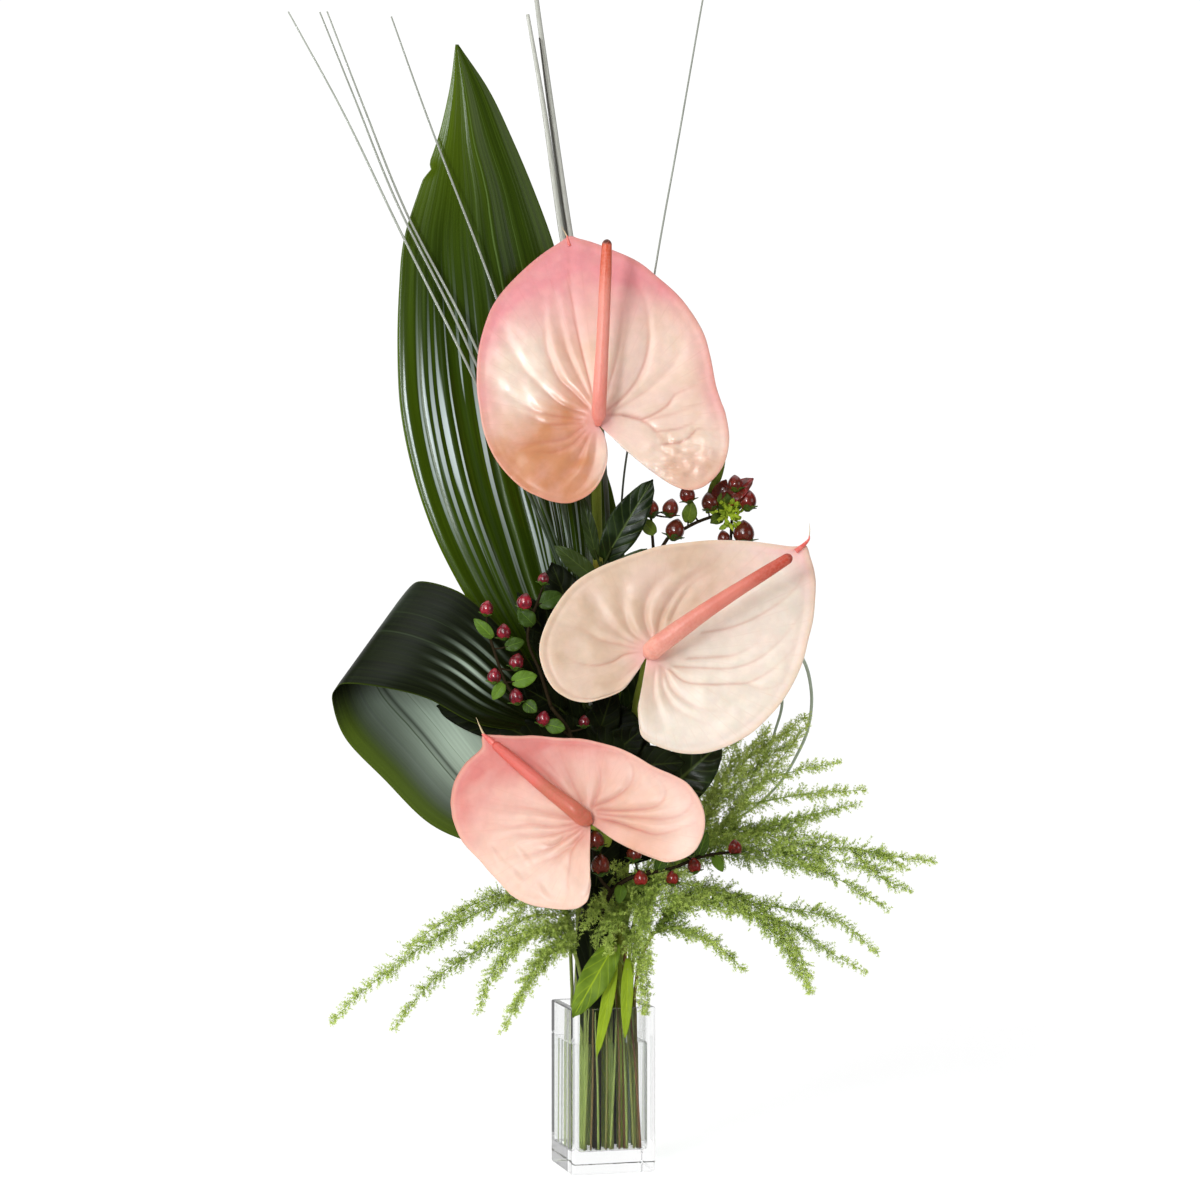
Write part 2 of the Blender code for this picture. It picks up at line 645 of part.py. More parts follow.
# Stem slot, stem route, and plumes: their knots and needle length
FERNS = {
    "fern_left": {
        "place": (-2, -1),
        "route": [(-16, -16, 140), (-20, -21, 158)],
        "plumes": [
            ([(-16, -16, 140), (-26, -23, 168), (-42, -29, 176), (-63, -34, 175), (-89, -41, 164),
              (-120, -46, 144), (-150, -50, 122), (-172, -53, 101)], 9.5),
            ([(-18, -19, 150), (-41, -20, 155), (-73, -20, 146), (-105, -20, 127),
              (-122, -21, 109), (-135, -21, 92)], 8.5),
        ],
    },
    "fern_left_front": {
        "place": (-2, -2),
        "route": [(-16, -27, 134), (-20, -36, 148)],
        "plumes": [
            ([(-18, -32, 144), (-37, -47, 157), (-52, -58, 153), (-63, -62, 144), (-73, -64, 127),
              (-79, -65, 106)], 7.5),
            ([(-20, -36, 148), (-35, -60, 143), (-49, -73, 124), (-58, -77, 108),
              (-64, -79, 97)], 7.5),
        ],
    },
    "fern_center": {
        "place": (1, -2),
        "route": [(14, -18, 135), (16, -26, 158)],
        "plumes": [
            ([(14, -20, 145), (22, -34, 158), (29, -41, 144), (33, -43, 122), (33, -44, 104)], 8.0),
            ([(16, -26, 158), (14, -33, 165), (5, -41, 166), (-2, -42, 158), (-3, -42, 144)], 6.0),
        ],
    },
    "fern_right_main": {
        "place": (2, -1),
        "route": [(22, -5, 150), (38, -6, 190)],
        "plumes": [
            ([(30, -6, 172), (56, -6, 205), (89, -8, 219), (127, -12, 210), (166, -16, 207),
              (191, -18, 202), (214, -20, 200)], 9.0),
            ([(158, -15, 207), (178, -20, 190), (198, -22, 181)], 7.0),
            ([(105, -9, 216), (125, -14, 200), (152, -20, 188), (183, -26, 169)], 7.5),
            ([(98, -9, 218), (125, -4, 226), (147, 0, 231), (168, 4, 236)], 7.0),
        ],
    },
    "fern_right_low": {
        "place": (2, -2),
        "route": [(24, -14, 135), (32, -19, 154)],
        "plumes": [
            ([(28, -17, 146), (52, -28, 178), (76, -32, 182), (106, -40, 166), (119, -43, 145),
              (132, -46, 118)], 8.5),
            ([(76, -32, 182), (98, -34, 174), (122, -33, 170), (150, -31, 163),
              (176, -29, 142)], 7.5),
            ([(106, -36, 168), (126, -37, 156), (145, -38, 143), (167, -40, 131)], 6.5),
            ([(32, -19, 154), (46, -22, 158), (62, -24, 152), (78, -26, 142), (91, -27, 130)], 6.5),
        ],
    },
    "fern_right_up": {
        "place": (2, 0),
        "route": [(21, 7, 160), (42, 10, 190), (63, 11, 206)],
        "plumes": [
            ([(52, 11, 198), (72, 11, 216), (90, 12, 237), (103, 14, 263), (118, 15, 280),
              (134, 16, 293)], 8.5),
            ([(90, 12, 237), (106, 11, 250), (129, 8, 257), (154, 4, 262)], 7.0),
            ([(86, 12, 232), (106, 17, 236), (129, 20, 240), (152, 22, 242), (173, 23, 243)], 7.0),
            ([(63, 11, 206), (64, 20, 240), (77, 26, 266), (94, 30, 281)], 6.5),
        ],
    },
    "fern_back_left": {
        "place": (-2, 2),
        "route": [(-23, 22, 155), (-32, 38, 182)],
        "plumes": [
            ([(-28, 32, 172), (-40, 48, 194), (-52, 66, 208), (-62, 86, 214)], 8.0),
            ([(-26, 28, 165), (-34, 48, 176), (-42, 70, 180), (-48, 92, 176)], 8.0),
        ],
    },
    "fern_back_right": {
        "place": (2, 2),
        "route": [(16, 34, 155), (26, 48, 184)],
        "plumes": [
            ([(22, 42, 172), (36, 60, 200), (48, 80, 216), (58, 100, 222)], 8.0),
            ([(19, 38, 164), (32, 58, 178), (46, 80, 184), (60, 100, 180)], 8.0),
        ],
    },
}


def plume(knots, reach, rng):
    """Slim three-sided core whose sides rise into spikes at every whorl."""
    bm = bmesh.new()
    run = sum((Vector(two) - Vector(one)).length for one, two in zip(knots, knots[1:]))
    whorls = max(4, round(run / WHORL_PITCH))
    fine = smooth_path(knots, 5 * whorls + 1)
    side = (fine[1] - fine[0]).orthogonal().normalized()
    last = None
    for k in range(whorls):
        along = (fine[5 * k + 1] - fine[5 * k]).normalized()
        side = (side - along * side.dot(along)).normalized()
        side = Matrix.Rotation(math.radians(40), 3, along) @ side
        radius = 1.0 - 0.4 * k / whorls
        rings = []
        for point in fine[5 * k:5 * k + 2]:
            turns = [Matrix.Rotation(2 * math.pi * c / 3, 3, along) for c in range(3)]
            rings.append([bm.verts.new(point + turn @ side * radius) for turn in turns])
        share = k / (whorls - 1)
        length = reach * (1.0 - 0.4 * share ** 3) * rng.uniform(0.85, 1.12)
        for c in range(3):
            d = (c + 1) % 3
            if last:
                bm.faces.new((last[c], last[d], rings[0][d], rings[0][c]))
            corners = [rings[0][c], rings[0][d], rings[1][d], rings[1][c]]
            if share < 0.12:
                bm.faces.new(corners)
                continue
            middle = sum((corner.co for corner in corners), Vector()) / 4
            out = (middle - (fine[5 * k] + fine[5 * k + 1]) / 2).normalized()
            lean = rng.uniform(0.4, 0.75)
            tip = bm.verts.new(middle + (out + along * lean).normalized() * length)
            for one, two in zip(corners, corners[1:] + corners[:1]):
                bm.faces.new((one, two, tip))
        if last is None:
            bm.faces.new(list(reversed(rings[0])))
        last = rings[1]
    tip = bm.verts.new(fine[-1] + (fine[-1] - fine[-2]).normalized() * reach * 0.45)
    for c in range(3):
        bm.faces.new((last[c], last[(c + 1) % 3], tip))
    bmesh.ops.triangulate(bm, faces=bm.faces)
    return bm


def build_fern(name, fern, rng):
    path = stem_path(fern["place"], fern["route"], 6)
    pieces = [tube(path, [FERN_STEM, FERN_STEM], 6)]
    lines = [path]
    for knots, reach in fern["plumes"]:
        start = nearest(Vector(knots[0]), lines)
        knots = [tuple(start)] + knots[1:]
        pieces.append(plume(knots, reach, rng))
        lines.append(smooth_path(knots, 30))
    fuse(name, pieces, material("fern_green", (0.16, 0.32, 0.07), 0.6))


# Stem slot, shared route, and blades as lists of knots from the shared route onwards
GRASS = {
    "grass_left": {
        "place": (-2, 1),
        "radius": 1.3,
        "end_radius": 1.2,
        "blade_radius": 0.7,
        "route": [(-14, 4.5, 190), (-11, 4.5, 235), (-8.5, 5, 290), (-7, 6, 335)],
        "blades": [
            [(-7, 6, 333), (-41, 10, 420), (-87, 12, 518), (-131, 14, 606), (-169, 14, 685),
             (-206, 14, 753)],
            [(-7, 6, 333), (-44, 8, 433), (-93, 9, 544), (-134, 10, 626), (-162, 10, 695),
             (-185, 10, 752)],
            [(-7, 6, 333), (-38, 11, 427), (-84, 15, 535), (-128, 17, 620), (-156, 18, 689),
             (-181, 18, 754)],
            [(-7, 6, 333), (-28, 12, 433), (-67, 17, 558), (-112, 19, 676), (-139, 20, 751)],
        ],
    },
    "grass_center": {
        "place": (0, 2),
        "radius": 1.6,
        "end_radius": 1.7,
        "blade_radius": 1.5,
        "route": [(2, 23, 170), (5, 30, 250), (3.5, 35, 330), (4, 37, 400), (0, 38, 470)],
        "blades": [
            [(0, 38, 468), (-10, 38, 540), (-22, 38, 610), (-34, 39, 693), (-44, 40, 766),
             (-47, 40, 795)],
            [(0, 38, 466), (-14, 40, 540), (-27, 41, 610), (-39, 42, 693), (-50, 44, 757)],
            [(0, 38, 464), (-11, 36, 540), (-24, 36, 609), (-35, 36, 686), (-42, 36, 740)],
        ],
    },
    "grass_right": {
        "place": (1, 2),
        "radius": 0.9,
        "end_radius": 0.6,
        "blade_radius": 0.6,
        "route": [(9, 27, 200), (10, 34, 330), (13, 36, 441), (25, 36, 513), (34, 35, 583),
                  (51, 34, 679), (66, 34, 765), (70, 34, 784)],
        "blades": [],
    },
    "grass_loops": {
        "place": (2, 1),
        "radius": 0.9,
        "end_radius": 1.0,
        "blade_radius": 0.7,
        "route": [(16, 22, 165), (34, 34, 235)],
        "blades": [
            [(33, 33.5, 232), (64, 37, 302), (91, 39, 331), (111, 40, 341), (131, 40, 331),
             (138, 38, 308), (136, 36, 284), (128, 34, 265), (116, 33, 246), (96, 34, 228),
             (72, 36, 216)],
            [(33, 33.5, 230), (58, 44, 288), (88, 47, 323), (108, 47, 325), (119, 45, 303),
             (114, 43, 280), (107, 41, 262), (97, 40, 249)],
        ],
    },
}


def build_grass(name, grass):
    path = stem_path(grass["place"], grass["route"], len(grass["route"]) + 4)
    pieces = [tube(path, [grass["radius"], grass["end_radius"]], 5)]
    for knots in grass["blades"]:
        line = smooth_path(knots, round(1.5 * len(knots)))
        pieces.append(tube(line, [grass["blade_radius"], GRASS_BLADE], 3))
    fuse(name, pieces, material("grass_grey", (0.30, 0.33, 0.24), 0.5))


def block(half, low, high):
    """Square block centred on the vase's axis and turned with it."""
    bm = bmesh.new()
    bmesh.ops.create_cube(bm, size=1.0)
    bmesh.ops.scale(bm, vec=(2 * half, 2 * half, high - low), verts=bm.verts)
    bmesh.ops.translate(bm, vec=(0, 0, (low + high) / 2), verts=bm.verts)
    bmesh.ops.rotate(bm, cent=(0, 0, 0), matrix=Matrix.Rotation(VASE_TURN, 3, "Z"), verts=bm.verts)
    return bm


def build_vase():
    bm = block(VASE_WIDTH / 2, 0.0, VASE_HEIGHT)
    edges = [edge for edge in bm.edges]
    bmesh.ops.bevel(bm, geom=edges, offset=1.2, segments=2, profile=0.5, affect="EDGES")
    bm.faces.ensure_lookup_table()
    top = max(bm.faces, key=lambda face: (face.calc_center_median().z, face.calc_area()))
    inset = VASE_WALL - 1.2
    bmesh.ops.inset_region(bm, faces=[top], thickness=inset)
    moved = bmesh.ops.extrude_face_region(bm, geom=[top])
    lowered = [item for item in moved["geom"] if isinstance(item, bmesh.types.BMVert)]
    bmesh.ops.translate(bm, verts=lowered, vec=(0, 0, VASE_FLOOR - VASE_HEIGHT))
    bmesh.ops.delete(bm, geom=[top], context="FACES_ONLY")
    vase = make_object("vase", bm, shade_smooth=False)
    vase.data.materials.append(material("vase_glass", (0.92, 0.95, 0.95), 0.05, 1.0))


def build_water(places):
    half = VASE_WIDTH / 2 - VASE_WALL - CLEARANCE
    water = make_object("water", block(half, VASE_FLOOR + CLEARANCE, WATER_LEVEL), False)
    holes = bpy.data.collections.new("stem_holes")
    bpy.context.scene.collection.children.link(holes)
    for number, (place, radius) in enumerate(places):
        foot = slot(*place, FLOOR_PITCH, STEM_FOOT)
        neck = slot(*place, NECK_PITCH, NECK_HEIGHT)
        step = (neck - foot) * 0.02
        room = (radius + CLEARANCE + 0.05) / math.cos(math.pi / 6)
        hole = make_object(f"stem_hole_{number}", tube([foot - step, neck], [room, room], 6))
        bpy.context.scene.collection.objects.unlink(hole)
        holes.objects.link(hole)
        hole.display_type = "WIRE"
        hole.hide_render = True
    cut = water.modifiers.new("stem_holes", "BOOLEAN")
    cut.operation = "DIFFERENCE"
    cut.operand_type = "COLLECTION"
    cut.collection = holes
    cut.solver = "MANIFOLD"
    bake(water)
    for hole in list(holes.objects):
        bpy.data.objects.remove(hole, do_unlink=True)
    bpy.data.collections.remove(holes)
    water.data.materials.clear()
    water.data.materials.append(material("water_clear", (0.93, 0.97, 0.95), 0.05, 1.0))


def main():
    clear_scene()
    places = []
    for name, flower in FLOWERS.items():
        build_flower(name, flower)
        places.append((flower["place"], ANTHURIUM_STEM))
    build_broad_leaves()
    places += [((-1, 1), PETIOLE), ((0, 1), PETIOLE), ((-2, 0), PETIOLE)]
    for name, sprig in SPRIGS.items():
        build_sprig(name, sprig)
        places.append((sprig["place"], SPRIG_STEM))
    for name, spray in BERRIES.items():
        build_spray(name, spray)
        places.append((spray["place"], WOODY_STEM))
    rng = random.Random(11)
    for name, fern in FERNS.items():
        build_fern(name, fern, rng)
        places.append((fern["place"], FERN_STEM))
    for name, grass in GRASS.items():
        build_grass(name, grass)
        places.append((grass["place"], grass["radius"]))
    build_vase()
    build_water(places)


main()
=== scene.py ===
"""Looks of three cut anthuriums arranged with foliage in a small square glass vase.

Sizes are in millimetres until a mesh is made. X runs to the viewer's right, Y away
from the viewer and Z up. The origin is the centre of the vase's flat base.
"""

import math

import bpy
import numpy as np
from mathutils import Matrix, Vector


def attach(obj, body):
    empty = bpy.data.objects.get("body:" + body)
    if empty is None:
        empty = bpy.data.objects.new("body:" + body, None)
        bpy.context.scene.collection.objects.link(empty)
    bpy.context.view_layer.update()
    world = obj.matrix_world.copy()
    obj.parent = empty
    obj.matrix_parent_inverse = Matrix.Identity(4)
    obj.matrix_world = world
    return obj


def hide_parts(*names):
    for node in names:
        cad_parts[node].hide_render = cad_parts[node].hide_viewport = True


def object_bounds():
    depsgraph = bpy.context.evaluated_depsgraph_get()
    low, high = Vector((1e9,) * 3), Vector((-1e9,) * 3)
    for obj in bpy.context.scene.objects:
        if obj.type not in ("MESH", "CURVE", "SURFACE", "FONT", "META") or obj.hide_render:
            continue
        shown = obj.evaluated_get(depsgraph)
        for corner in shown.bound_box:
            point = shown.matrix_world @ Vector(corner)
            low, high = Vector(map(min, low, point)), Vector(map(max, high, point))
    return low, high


MM = 0.001

VASE_WIDTH = 56.0
VASE_HEIGHT = 106.0
VASE_WALL = 5.0
VASE_FLOOR = 14.0
VASE_TURN = math.radians(15.0)
WATER_LEVEL = 83.0
CLEARANCE = 0.3
FLOOR_PITCH = 8.8
NECK_PITCH = 8.2
STEM_FOOT = VASE_FLOOR + CLEARANCE
NECK_HEIGHT = 112.0
SPATHE_THICKNESS = 0.9
LEAF_THICKNESS = 0.8

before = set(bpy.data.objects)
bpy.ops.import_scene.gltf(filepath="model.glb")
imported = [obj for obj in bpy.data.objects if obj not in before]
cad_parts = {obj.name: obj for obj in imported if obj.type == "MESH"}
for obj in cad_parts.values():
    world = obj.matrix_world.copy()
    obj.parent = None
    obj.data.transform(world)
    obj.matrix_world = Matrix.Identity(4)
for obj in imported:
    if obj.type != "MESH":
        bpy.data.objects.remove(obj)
CAD_BOX = [list(corner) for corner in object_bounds()]
LOW_CORNER = np.array(CAD_BOX[0]) / MM + 0.02
HIGH_CORNER = np.array(CAD_BOX[1]) / MM - 0.02


def rgb(red, green, blue):
    """Linear colour from the usual 0 to 255 values."""
    def linear(value):
        value /= 255
        return value / 12.92 if value <= 0.04045 else ((value + 0.055) / 1.055) ** 2.4
    return (linear(red), linear(green), linear(blue))


# Curves and surfaces

def unit(vectors):
    vectors = np.asarray(vectors, float)
    return vectors / np.maximum(np.linalg.norm(vectors, axis=-1, keepdims=True), 1e-9)


def smooth_path(knots, count):
    """Spread count points evenly along a smooth curve through the knots."""
    knots = np.asarray(knots, float)
    full = np.vstack([2 * knots[0] - knots[1], knots, 2 * knots[-1] - knots[-2]])
    t = np.arange(32)[:, None] / 32
    parts = []
    for k in range(1, len(full) - 2):
        a, b, c, d = full[k - 1:k + 3]
        parts.append(0.5 * (2 * b + (c - a) * t + (2 * a - 5 * b + 4 * c - d) * t ** 2
                            + (3 * b - a - 3 * c + d) * t ** 3))
    parts.append(knots[-1:])
    fine = np.vstack(parts)
    runs = np.concatenate([[0], np.cumsum(np.linalg.norm(np.diff(fine, axis=0), axis=1))])
    goal = np.linspace(0, runs[-1], count)
    return np.stack([np.interp(goal, runs, fine[:, axis]) for axis in range(3)], 1)


def spread(table, shares):
    """Read a list of values at shares of its length."""
    return np.interp(shares, np.linspace(0, 1, len(table)), table)


def step(low, high, value):
    """Smooth step from 0 at low to 1 at high."""
    share = np.clip((np.asarray(value, float) - low) / (high - low), 0, 1)
    return share * share * (3 - 2 * share)


def hill(value, centre, width):
    """Smooth hill of height 1 at the centre."""
    return np.exp(-((value - centre) / width) ** 2)


def rumple(x, z, size, seed):
    """Smooth random relief between -1 and 1 over a plane."""
    lattice = np.random.default_rng(seed).uniform(-1, 1, (64, 64))
    u = np.asarray(x) / size + 32.37
    v = np.asarray(z) / size + 32.71
    i = np.floor(u).astype(int)
    j = np.floor(v).astype(int)
    across = step(0, 1, u - i)
    along = step(0, 1, v - j)
    low = lattice[i % 64, j % 64] * (1 - across) + lattice[(i + 1) % 64, j % 64] * across
    high = lattice[i % 64, (j + 1) % 64] * (1 - across) + lattice[(i + 1) % 64, (j + 1) % 64] * across
    return low * (1 - along) + high * along


def frames(path):
    """The direction of a path and two directions across it at each of its points."""
    along = unit(np.gradient(path, axis=0))
    side = unit(np.cross(along[0], (0.31, 0.91, 0.27)))
    sides = []
    for direction in along:
        side = unit(side - direction * side.dot(direction))
        sides.append(side)
    sides = np.array(sides)
    return along, sides, np.cross(along, sides)


def grid(rows, columns, wrap=False):
    """Quads of a grid of points and the place of their corners on it."""
    across = columns if wrap else columns - 1
    r, c = np.broadcast_arrays(np.arange(rows - 1)[:, None], np.arange(across)[None, :])
    right = (c + 1) % columns
    faces = np.stack([r * columns + c, r * columns + right,
                      (r + 1) * columns + right, (r + 1) * columns + c], -1)
    corners = [(c, r), (c + 1, r), (c + 1, r + 1), (c, r + 1)]
    maps = np.stack([np.stack([u / across, v / (rows - 1)], -1) for u, v in corners], -2)
    return faces.reshape(-1, 4), maps.reshape(-1, 4, 2)


def normals_of(points):
    """Normals of a grid of points."""
    return unit(np.cross(np.gradient(points, axis=1), np.gradient(points, axis=0)))


def masks_of(*layers):
    """Three masks of a grid in one array."""
    return np.stack(np.broadcast_arrays(*layers), -1)


def in_vase(x, y, height):
    """Place given along and across the vase, which is turned a little."""
    x, y, height = np.broadcast_arrays(x, y, height)
    cos, sin = math.cos(VASE_TURN), math.sin(VASE_TURN)
    return np.stack([x * cos - y * sin, x * sin + y * cos, height], -1)


class Shape:
    """Gathers the parts of one piece: points, faces, map, three masks and looks."""

    def __init__(self):
        self.points = []
        self.masks = []
        self.faces = []
        self.maps = []
        self.looks = []
        self.count = 0

    def add_faces(self, faces, maps, look):
        self.faces.append(np.asarray(faces))
        self.maps.append(np.asarray(maps, float))
        self.looks.append(np.full(len(faces), look))

    def add(self, points, faces, maps, mask=(0.0, 0.0, 0.0), look=0):
        points = np.asarray(points, float).reshape(-1, 3)
        self.points.append(points)
        self.masks.append(np.broadcast_to(np.asarray(mask, float), points.shape).copy())
        self.add_faces(faces + self.count, maps, look)
        self.count += len(points)

    def sheet(self, points, thickness, masks=(0.0, 0.0, 0.0), look=0, maps=None, edge=0.4,
              margin=0.08):
        """Two faces and a rim around a grid of points, thinner at its margin."""
        rows, columns = points.shape[:2]
        normals = normals_of(points)
        faces, places = grid(rows, columns)
        if maps is not None:
            places = maps.reshape(-1, 2)[faces]
        masks = np.broadcast_to(masks, points.shape)
        u = np.linspace(0, 1, columns)[None, :]
        v = np.linspace(0, 1, rows)[:, None]
        inward = np.minimum(np.minimum(u, 1 - u), np.minimum(v, 1 - v))
        depth = thickness * (edge + (1 - edge) * np.clip(inward / margin, 0, 1))[..., None]
        both = np.concatenate([(points + normals * depth / 2).reshape(-1, 3),
                               (points - normals * depth / 2).reshape(-1, 3)])
        total = rows * columns
        index = np.arange(total).reshape(rows, columns)
        loop = np.concatenate([index[0, :-1], index[:-1, -1], index[-1, :0:-1], index[:0:-1, 0]])
        after = np.roll(loop, -1)
        rim = np.stack([after, loop, loop + total, after + total], -1)
        flat = np.zeros((total, 2))
        flat[faces.ravel()] = places.reshape(-1, 2)
        rim_map = np.stack([flat[after], flat[loop], flat[loop], flat[after]], 1)
        self.add(both, np.concatenate([faces, faces[:, ::-1] + total, rim]),
                 np.concatenate([places, places[:, ::-1], rim_map]),
                 np.concatenate([masks.reshape(-1, 3)] * 2), look)

    def rings(self, rings, ends, mask=(0.0, 0.0, 0.0), look=0):
        """Closed body from rings of points and the middle point of either end."""
        rows, columns = rings.shape[:2]
        start = self.count
        faces, maps = grid(rows, columns, wrap=True)
        self.add(np.concatenate([rings.reshape(-1, 3), ends]), faces, maps, mask, look)
        ring = np.arange(columns)
        after = (ring + 1) % columns
        last = (rows - 1) * columns
        middle = np.full(columns, rows * columns)
        low = np.stack([after, ring, middle], -1)
        high = np.stack([ring + last, after + last, middle + 1], -1)
        end_map = np.zeros((2 * columns, 3, 2))
        end_map[:, :, 0] = 0.5
        end_map[columns:, :, 1] = 1.0
        self.add_faces(np.concatenate([low, high]) + start, end_map, look)

    def tube(self, path, radii, sides, mask=(0.0, 0.0, 0.0), look=0, swell=None):
        """Round tube along a path with closed ends. swell(u, v) adds to its radius."""
        _, side, up = frames(path)
        v = np.linspace(0, 1, len(path))[:, None]
        u = np.arange(sides)[None, :] / sides
        radius = spread(radii, v)
        if swell is not None:
            radius = radius + swell(u, v)
        turn = 2 * math.pi * u[..., None]
        around = side[:, None] * np.cos(turn) + up[:, None] * np.sin(turn)
        mask = np.asarray(mask, float)
        if mask.ndim == 2:
            mask = np.concatenate([np.repeat(mask, sides, axis=0), mask[:1], mask[-1:]])
        rings = path[:, None] + around * (radius * np.ones(sides))[..., None]
        self.rings(rings, path[[0, -1]], mask, look)

    def make(self, name, looks, nodes):
        mesh = bpy.data.meshes.new(name)
        points = np.clip(np.concatenate(self.points), LOW_CORNER, HIGH_CORNER) * MM
        mesh.vertices.add(len(points))
        mesh.vertices.foreach_set("co", points.astype(np.float32).ravel())
        loops = np.concatenate([faces.ravel() for faces in self.faces])
        sizes = np.concatenate([np.full(len(faces), faces.shape[1]) for faces in self.faces])
        starts = np.concatenate([[0], np.cumsum(sizes)[:-1]])
        mesh.loops.add(len(loops))
        mesh.loops.foreach_set("vertex_index", loops.astype(np.int32))
        mesh.polygons.add(len(sizes))
        mesh.polygons.foreach_set("loop_start", starts.astype(np.int32))
        mesh.polygons.foreach_set("use_smooth", np.ones(len(sizes), bool))
        mesh.polygons.foreach_set("material_index", np.concatenate(self.looks).astype(np.int32))
        layer = mesh.uv_layers.new(name="grain")
        places = np.concatenate([maps.reshape(-1, 2) for maps in self.maps])
        layer.data.foreach_set("uv", places.astype(np.float32).ravel())
        masks = np.concatenate(self.masks)
        colors = np.ones((len(masks), 4), np.float32)
        colors[:, :3] = masks
        mesh.attributes.new("mask", "FLOAT_COLOR", "POINT").data.foreach_set("color", colors.ravel())
        mesh.update(calc_edges=True)
        for look in looks:
            mesh.materials.append(look)
        item = bpy.data.objects.new(name, mesh)
        bpy.context.scene.collection.objects.link(item)
        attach(item, "root")
        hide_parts(*nodes)
        return item


# Materials

class Value:
    """Output of a shader node that can be added, subtracted and multiplied."""

    def __init__(self, graph, socket):
        self.graph = graph
        self.socket = socket

    def __add__(self, other):
        return self.graph.math("ADD", self, other)

    def __sub__(self, other):
        return self.graph.math("SUBTRACT", self, other)

    def __rsub__(self, other):
        return self.graph.math("SUBTRACT", other, self)

    def __mul__(self, other):
        return self.graph.math("MULTIPLY", self, other)

    def __abs__(self):
        return self.graph.math("ABSOLUTE", self)

    def within(self, low, high):
        return self.graph.math("MINIMUM", self.graph.math("MAXIMUM", self, low), high)


class Graph:
    """Adds nodes to the tree of a material or of the world."""

    def __init__(self, tree):
        self.nodes = tree.nodes
        self.links = tree.links

    def put(self, socket, value):
        if isinstance(value, Value):
            self.links.new(value.socket, socket)
        elif isinstance(value, tuple) and len(value) == 3 and len(socket.default_value) == 4:
            socket.default_value = (*value, 1.0)
        else:
            socket.default_value = value

    def add(self, kind, output, inputs=(), **settings):
        """Adds a node and gives one of its outputs."""
        node = self.nodes.new("ShaderNode" + kind)
        for key, value in settings.items():
            setattr(node, key, value)
        for key, value in dict(inputs).items():
            self.put(node.inputs[key], value)
        return Value(self, node.outputs[output])

    def math(self, operation, *values, clamp=False):
        return self.add("Math", 0, enumerate(values), operation=operation, use_clamp=clamp)

    def step(self, value, low, high, start=0.0, end=1.0):
        return self.add("MapRange", 0, enumerate((value, low, high, start, end)),
                        interpolation_type="SMOOTHSTEP")

    def split(self, vector):
        node = self.add("SeparateXYZ", 0, {0: vector}).socket.node
        return [Value(self, socket) for socket in node.outputs]


class Look(Graph):
    """Builds the nodes of one material around its Principled shader."""

    def __init__(self, name, **constants):
        self.material = bpy.data.materials.new(name)
        self.material.use_nodes = True
        super().__init__(self.material.node_tree)
        self.shader = self.nodes["Principled BSDF"]
        for key, value in constants.items():
            self.shader.inputs[key.replace("_", " ")].default_value = value
        self.place = self.add("TexCoord", "Object")
        self.grain = self.add("TexCoord", "UV")

    def layers(self, color, *layers):
        """Lays colours over the first one, each by its share."""
        for share, over in layers:
            color = self.add("Mix", 2, {0: share, 6: color, 7: over}, data_type="RGBA")
        return color

    def masks(self):
        return self.split(self.add("Attribute", "Color", attribute_name="mask"))

    def stretched(self, x, y):
        return self.add("VectorMath", 0, {0: self.grain, 1: (x, y, 1.0)}, operation="MULTIPLY")

    def noise(self, scale, detail=2.0, vector=None):
        return self.add("TexNoise", 0, {"Vector": vector or self.place, "Scale": scale, "Detail": detail})

    def cells(self, scale, feature="F1"):
        return self.add("TexVoronoi", "Distance", {"Vector": self.place, "Scale": scale}, feature=feature)

    def bump(self, height, strength, distance):
        return self.add("Bump", 0, {"Height": height, "Strength": strength, "Distance": distance})

    def finish(self, color, roughness=None, normal=None):
        self.put(self.shader.inputs["Base Color"], color)
        if roughness is not None:
            self.put(self.shader.inputs["Roughness"], roughness)
        if normal is not None:
            self.put(self.shader.inputs["Normal"], normal)
        return self.material


def bract_look(name, pale, warm, blush, line, rim, rim_blend, gloss, coat):
    """Waxy bract: masks give blush, warmth and vein lines, the map its margin. The vein lines are partly
    painted crease shade, and on the top bract warmth and blush also hold painted shade and a painted
    highlight.
    """
    look = Look(name, Subsurface_Weight=0.25, Subsurface_Scale=0.004, Coat_Weight=coat,
                Subsurface_Radius=(1.0, 0.45, 0.3), Coat_Roughness=0.2, Specular_IOR_Level=0.5)
    pink, heat, vein = look.masks()
    wander = look.noise(28.0, 3.0)
    fleck = look.noise(160.0, 3.0)
    heat = look.math("ADD", heat, (wander - 0.5) * 0.5, clamp=True)
    pink = look.math("ADD", pink, (wander - 0.5) * -0.4, clamp=True)
    mottle = look.step(look.noise(75.0, 4.0), 0.35, 0.7, -0.08, 0.08)
    index, reach, _ = look.split(look.grain)
    # Fine side veins between the main ones, and a faint net
    fine = look.step(look.math("PINGPONG", index * 3.0, 0.5), 0.0, 0.09, 1.0, 0.0)
    fine = fine * look.step(fleck, 0.35, 0.65)
    net = look.step(look.cells(260.0, "DISTANCE_TO_EDGE"), 0.0, 0.05, 1.0, 0.0)
    # The vein lines are the bract's vein colour, partly painted shade in its creases
    color = look.layers(pale, (look.math("ADD", heat, mottle, clamp=True), warm),
                        (look.math("SUBTRACT", pink, mottle, clamp=True), blush),
                        (fine * 0.1, line), (net * 0.03, line), (vein * 0.7, line),
                        (look.step(reach, 0.955, 0.985) * rim_blend, rim))
    shade = look.step(fleck, 0.3, 0.7, 0.965, 1.03)
    color = look.add("HueSaturation", 0, {"Value": shade, "Color": color})
    height = fine * -0.1 + net * -0.06 + wander * 0.25 + fleck * 0.4
    return look.finish(color, look.step(fleck, 0.3, 0.7, gloss, gloss + 0.1),
                       look.bump(height, 0.3, 0.0006))


